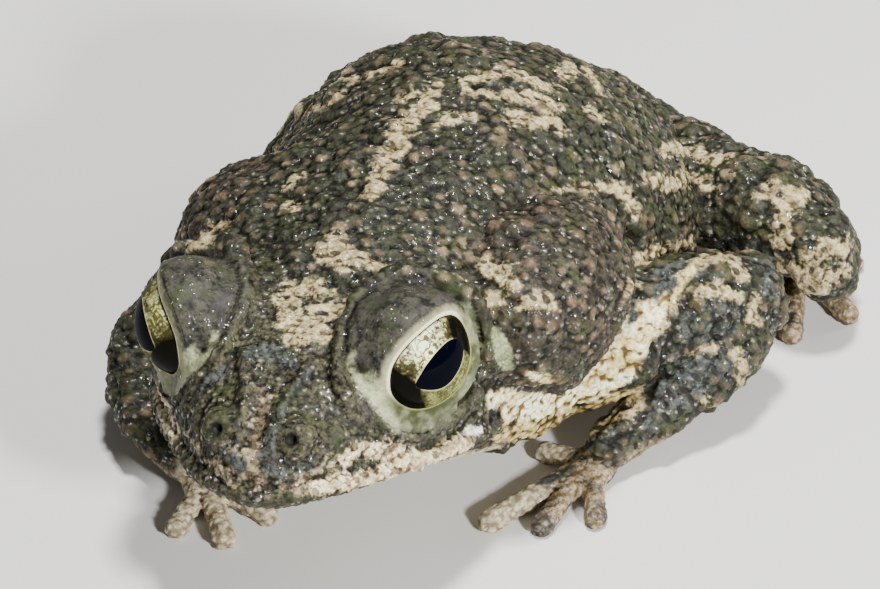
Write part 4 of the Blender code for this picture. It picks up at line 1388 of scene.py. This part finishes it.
    # Wet sparkles
    spots = times(step(look.cells(0.21), 0.1, 0.42, 1.0, 0.0), step(look.noise(0.8, 1.0), -0.06, 0.08))
    glints = times(step(grain, 0.45, 0.85), step(speck, 0.7, 0.8))
    wet = times(look.math("MAXIMUM", spots, glints), step(granular, 0.2, 0.8, 1.0, 0.3))
    dry = look.math("SUBTRACT", 1.0, wet)
    relief = add(times(add(fine, times(cells, -1.0)), times(off_lid, 0.7)), times(wet, 0.8),
                 times(small, 1.2))
    bump = look.node("Bump", {"Height": relief, "Distance": SKIN_BUMP * MM, "Strength": 1.0})
    bump = bump.outputs["Normal"]
    return look.finished({
        "Base Color": colour,
        "Roughness": add(times(step(fine, -0.2, 0.2, 0.42, 0.72), dry), times(wet, 0.14)),
        "Normal": bump,
        "Coat Normal": bump,
        "Specular IOR Level": add(times(wet, 0.7), 0.14),
        "Coat Weight": times(wet, 0.7),
        "Coat IOR": 1.8,
        "Coat Roughness": 0.12,
        "Subsurface Weight": 0.04,
        "Subsurface Radius": (0.0006, 0.0003, 0.0002),
        "Subsurface Scale": 1.0,
    })


def eye_material(name, dim):
    """A wet eye: dark almond pupil, golden iris with fine dark veins and a painted sheen on its upper half,
    dimmer by a share of painted shade, a painted shadow under the lids' edge, black corners.
    """
    look = Look(name)
    add, blend, field, step, times = look.add, look.blend, look.field, look.step, look.times
    fine = look.noise(0.10, 3.0)
    small = look.noise(0.26)
    cloud = look.noise(0.5)
    grain = add(fine, small)
    pupil = add(field("pupil"), times(cloud, 0.03))
    upper = field("upper")
    corner = field("corner")
    # The upper iris with its painted sheen, dimmed on the right eye by a share of painted shade
    bright = blend(step(grain, -0.3, 0.12), *IRIS_WITH_SHEEN)
    low = blend(step(grain, -0.2, 0.2), *LOW_IRIS)
    iris = blend(upper, low, blend(dim, bright, DIM_IRIS))
    thread = look.math("ABSOLUTE", look.noise(0.30, 1.0, distortion=1.0))
    vein = times(step(thread, 0.02, 0.085 + 0.08 * dim, 1.0, 0.0),
                 step(cloud, -0.15, 0.02, 0.3 + 0.5 * dim, 1.0))
    iris = blend(times(vein, 0.95), iris, VEIN)
    brown = step(add(corner, times(small, 2.0), times(fine, 1.4)), -0.85, -0.15, 0.0, 0.97)
    iris = blend(times(brown, step(upper, 0.0, 1.0, 0.3, 1.0)), iris, BROWN)
    iris = blend(step(pupil, -0.07, -0.02, 0.0, 0.45), iris, PUPIL_RING)
    iris = blend(step(add(corner, times(small, 0.5)), -0.2, 0.05), iris, EYE_CORNER)
    # Painted shadow on the globe under and just inside the lids' edge
    iris = blend(step(add(field("inside"), times(small, 0.08)), 0.04, 0.15, 1.0, 0.0), iris, LID_SHADOW)
    return look.finished({
        "Base Color": blend(step(pupil, -0.02, 0.01), iris, PUPIL),
        "Roughness": 0.35,
        "Specular IOR Level": 0.0,
        "Coat Weight": 0.14,
        "Coat Roughness": 0.03,
        "Coat IOR": 1.3,
    })


def add_camera():
    """The camera at the photo's angle and framing."""
    right, up, back = camera_axes()
    data = bpy.data.cameras.new("camera")
    data.sensor_fit = "HORIZONTAL"
    data.sensor_width = SENSOR
    data.lens = FOCAL / PHOTO[0] * SENSOR
    data.clip_start, data.clip_end = CLIP
    camera = bpy.data.objects.new("camera", data)
    bpy.context.scene.collection.objects.link(camera)
    turn = Matrix((right, up, back)).transposed().to_4x4()
    camera.matrix_world = Matrix.Translation((camera_place() - ORIGIN) * MM) @ turn
    bpy.context.scene.camera = camera


def add_light(name, place, size, power, mirrored):
    """A soft square lamp aimed at the toad, placed along the camera's right, up and back."""
    data = bpy.data.lights.new(name, "AREA")
    data.size = size * MM
    data.energy = power
    lamp = bpy.data.objects.new(name, data)
    place = sum((axis * reach for axis, reach in zip(camera_axes(), place)), Vector())
    lamp.matrix_world = Matrix.Translation(place * MM) @ place.to_track_quat("Z", "Y").to_matrix().to_4x4()
    lamp.visible_glossy = mirrored
    bpy.context.scene.collection.objects.link(lamp)


def add_studio():
    """A plain pale floor and soft lamps, the brightest above and behind the camera."""
    bm = bmesh.new()
    bmesh.ops.create_grid(bm, x_segments=1, y_segments=1, size=FLOOR_REACH)
    floor = mesh_object("floor", bm)
    floor.data.materials.append(Look("floor").finished({
        "Base Color": FLOOR_COLOUR, "Roughness": FLOOR_ROUGHNESS}))
    for name, settings in LAMPS.items():
        add_light(name, *settings)
    world = bpy.data.worlds.new("world")
    world.use_nodes = True
    sky = world.node_tree.nodes["Background"].inputs
    sky["Color"].default_value = SKY_COLOUR
    sky["Strength"].default_value = SKY_STRENGTH
    bpy.context.scene.world = world


def lid_rim(sign, name, tree):
    """The rolled edge of the lids, from the cornea out to the skin round the opening."""
    place = gaze_frame(sign)
    outline = eye_outline(OPENING_PIXELS)
    middle = sum(outline, Vector()) / len(outline)
    bm = bmesh.new()
    rings = []
    for p, q in zip(outline, outline[1:] + outline[:1]):
        n = p.normalized()
        outward = n.cross((q - p).normalized())
        if outward.dot(p - middle) < 0:
            outward.negate()
        top = float(smoothstep(*UPPER_LID, np.array(p.y)))
        out = (n * CORNEA_R + outward * RIM_EDGE[0]).normalized()
        tuck = (n * CORNEA_R - outward * RIM_TUCK).normalized()
        ring = [place @ (out * (CORNEA_R + RIM_EDGE[1])),
                place @ (tuck * (CORNEA_R + RIM_LIFT + RIM_LIFT * top))]
        for reach, share in RIM_PROFILE:
            start = place @ ((n * CORNEA_R + outward * reach).normalized() * (CORNEA_R + RIM_LIFT))
            out = (start - place.translation).normalized()
            hit = tree.ray_cast(start, out)[0]
            ring.append(start.lerp(hit, share[0] + (share[1] - share[0]) * top))
        rings.append([bm.verts.new(point) for point in ring])
    for near, far in zip(rings, rings[1:] + rings[:1]):
        for k in range(len(near) - 1):
            bm.faces.new((near[k], near[k + 1], far[k + 1], far[k]))
    rim = mesh_object("lid_rim_" + name, bm)
    rim.modifiers.new("round", "SUBSURF").levels = 2
    evaluated(rim)
    mesh = rim.data
    points = vectors(mesh.vertices, "co")
    fields = paint_fields(points, vectors(mesh.vertex_normals, "vector"), tree)
    fields.update({name: np.zeros(len(points)) for name in PLAIN_ON_RIMS})
    fields["pore"] = np.full(len(points), NO_PORE)
    set_fields(mesh, fields)
    mesh.shade_smooth()
    return rim


def seen_pixels(at):
    """Where the camera sees points given in the left globe's gaze frame, in pixels."""
    place = np.array(gaze_frame(1))
    world = at @ place[:3, :3].T + place[:3, 3] - np.array(camera_place())
    right, up, back = (world @ np.array(axis) for axis in camera_axes())
    return np.stack((PHOTO[0] / 2 - FOCAL * right / back, PHOTO[1] / 2 + FOCAL * up / back), axis=1)


def eyeball(sign, name):
    """The wet globe behind the lids, with the fields of its pupil and corners."""
    globe = ball("eyeball_" + name, gaze_frame(sign) @ Matrix.Scale(CORNEA_R, 4), EYEBALL_SEGMENTS)
    mesh = globe.data
    at = in_gaze(vectors(mesh.vertices, "co"))
    flat = lid_map(at)
    fields = {"pupil": depth_inside(flat, lid_map(np.array(eye_outline(PUPIL_PIXELS)))),
              "inside": depth_inside(flat, lid_map(np.array(eye_outline(OPENING_PIXELS)))),
              "corner": np.full(len(at), -1.0)}
    seen = seen_pixels(at)
    for pixel, radius in EYE_CORNERS:
        reach = (radius - np.hypot(*(seen - pixel).T)) * DISTANCE / FOCAL
        fields["corner"] = np.maximum(fields["corner"], reach)
    a, b = (lid_map(np.array(eye_outline((pixel,)))[:1])[0] for pixel in EYE_MIDLINE)
    across = np.array((a[1] - b[1], b[0] - a[0]))
    fields["upper"] = smoothstep(*UPPER_IRIS, (flat - a) @ across / np.hypot(*across))
    set_fields(mesh, fields)
    mesh.shade_smooth()
    return globe


def dressed(obj, material, slot, *nodes):
    """A finished piece that rides on the toad's body, in place of the named nodes."""
    obj.data.materials.clear()
    obj.data.materials.append(material)
    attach(obj, "root")
    if nodes:
        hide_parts(*nodes)


def build_toad():
    """The whole toad: skin, eyes and lid rims."""
    skin, tree = grown_skin()
    material = skin_material()
    for sign, (name, dim) in EYES.items():
        node = "eye_" + name
        dressed(brought_in(eyeball(sign, name)), eye_material(node, dim), "eye", node)
        dressed(brought_in(lid_rim(sign, name, tree)), material, "skin_dark")
    dressed(brought_in(skin), material, "skin_dark", *FLESH_NODES)


add_camera()
build_toad()
add_studio()
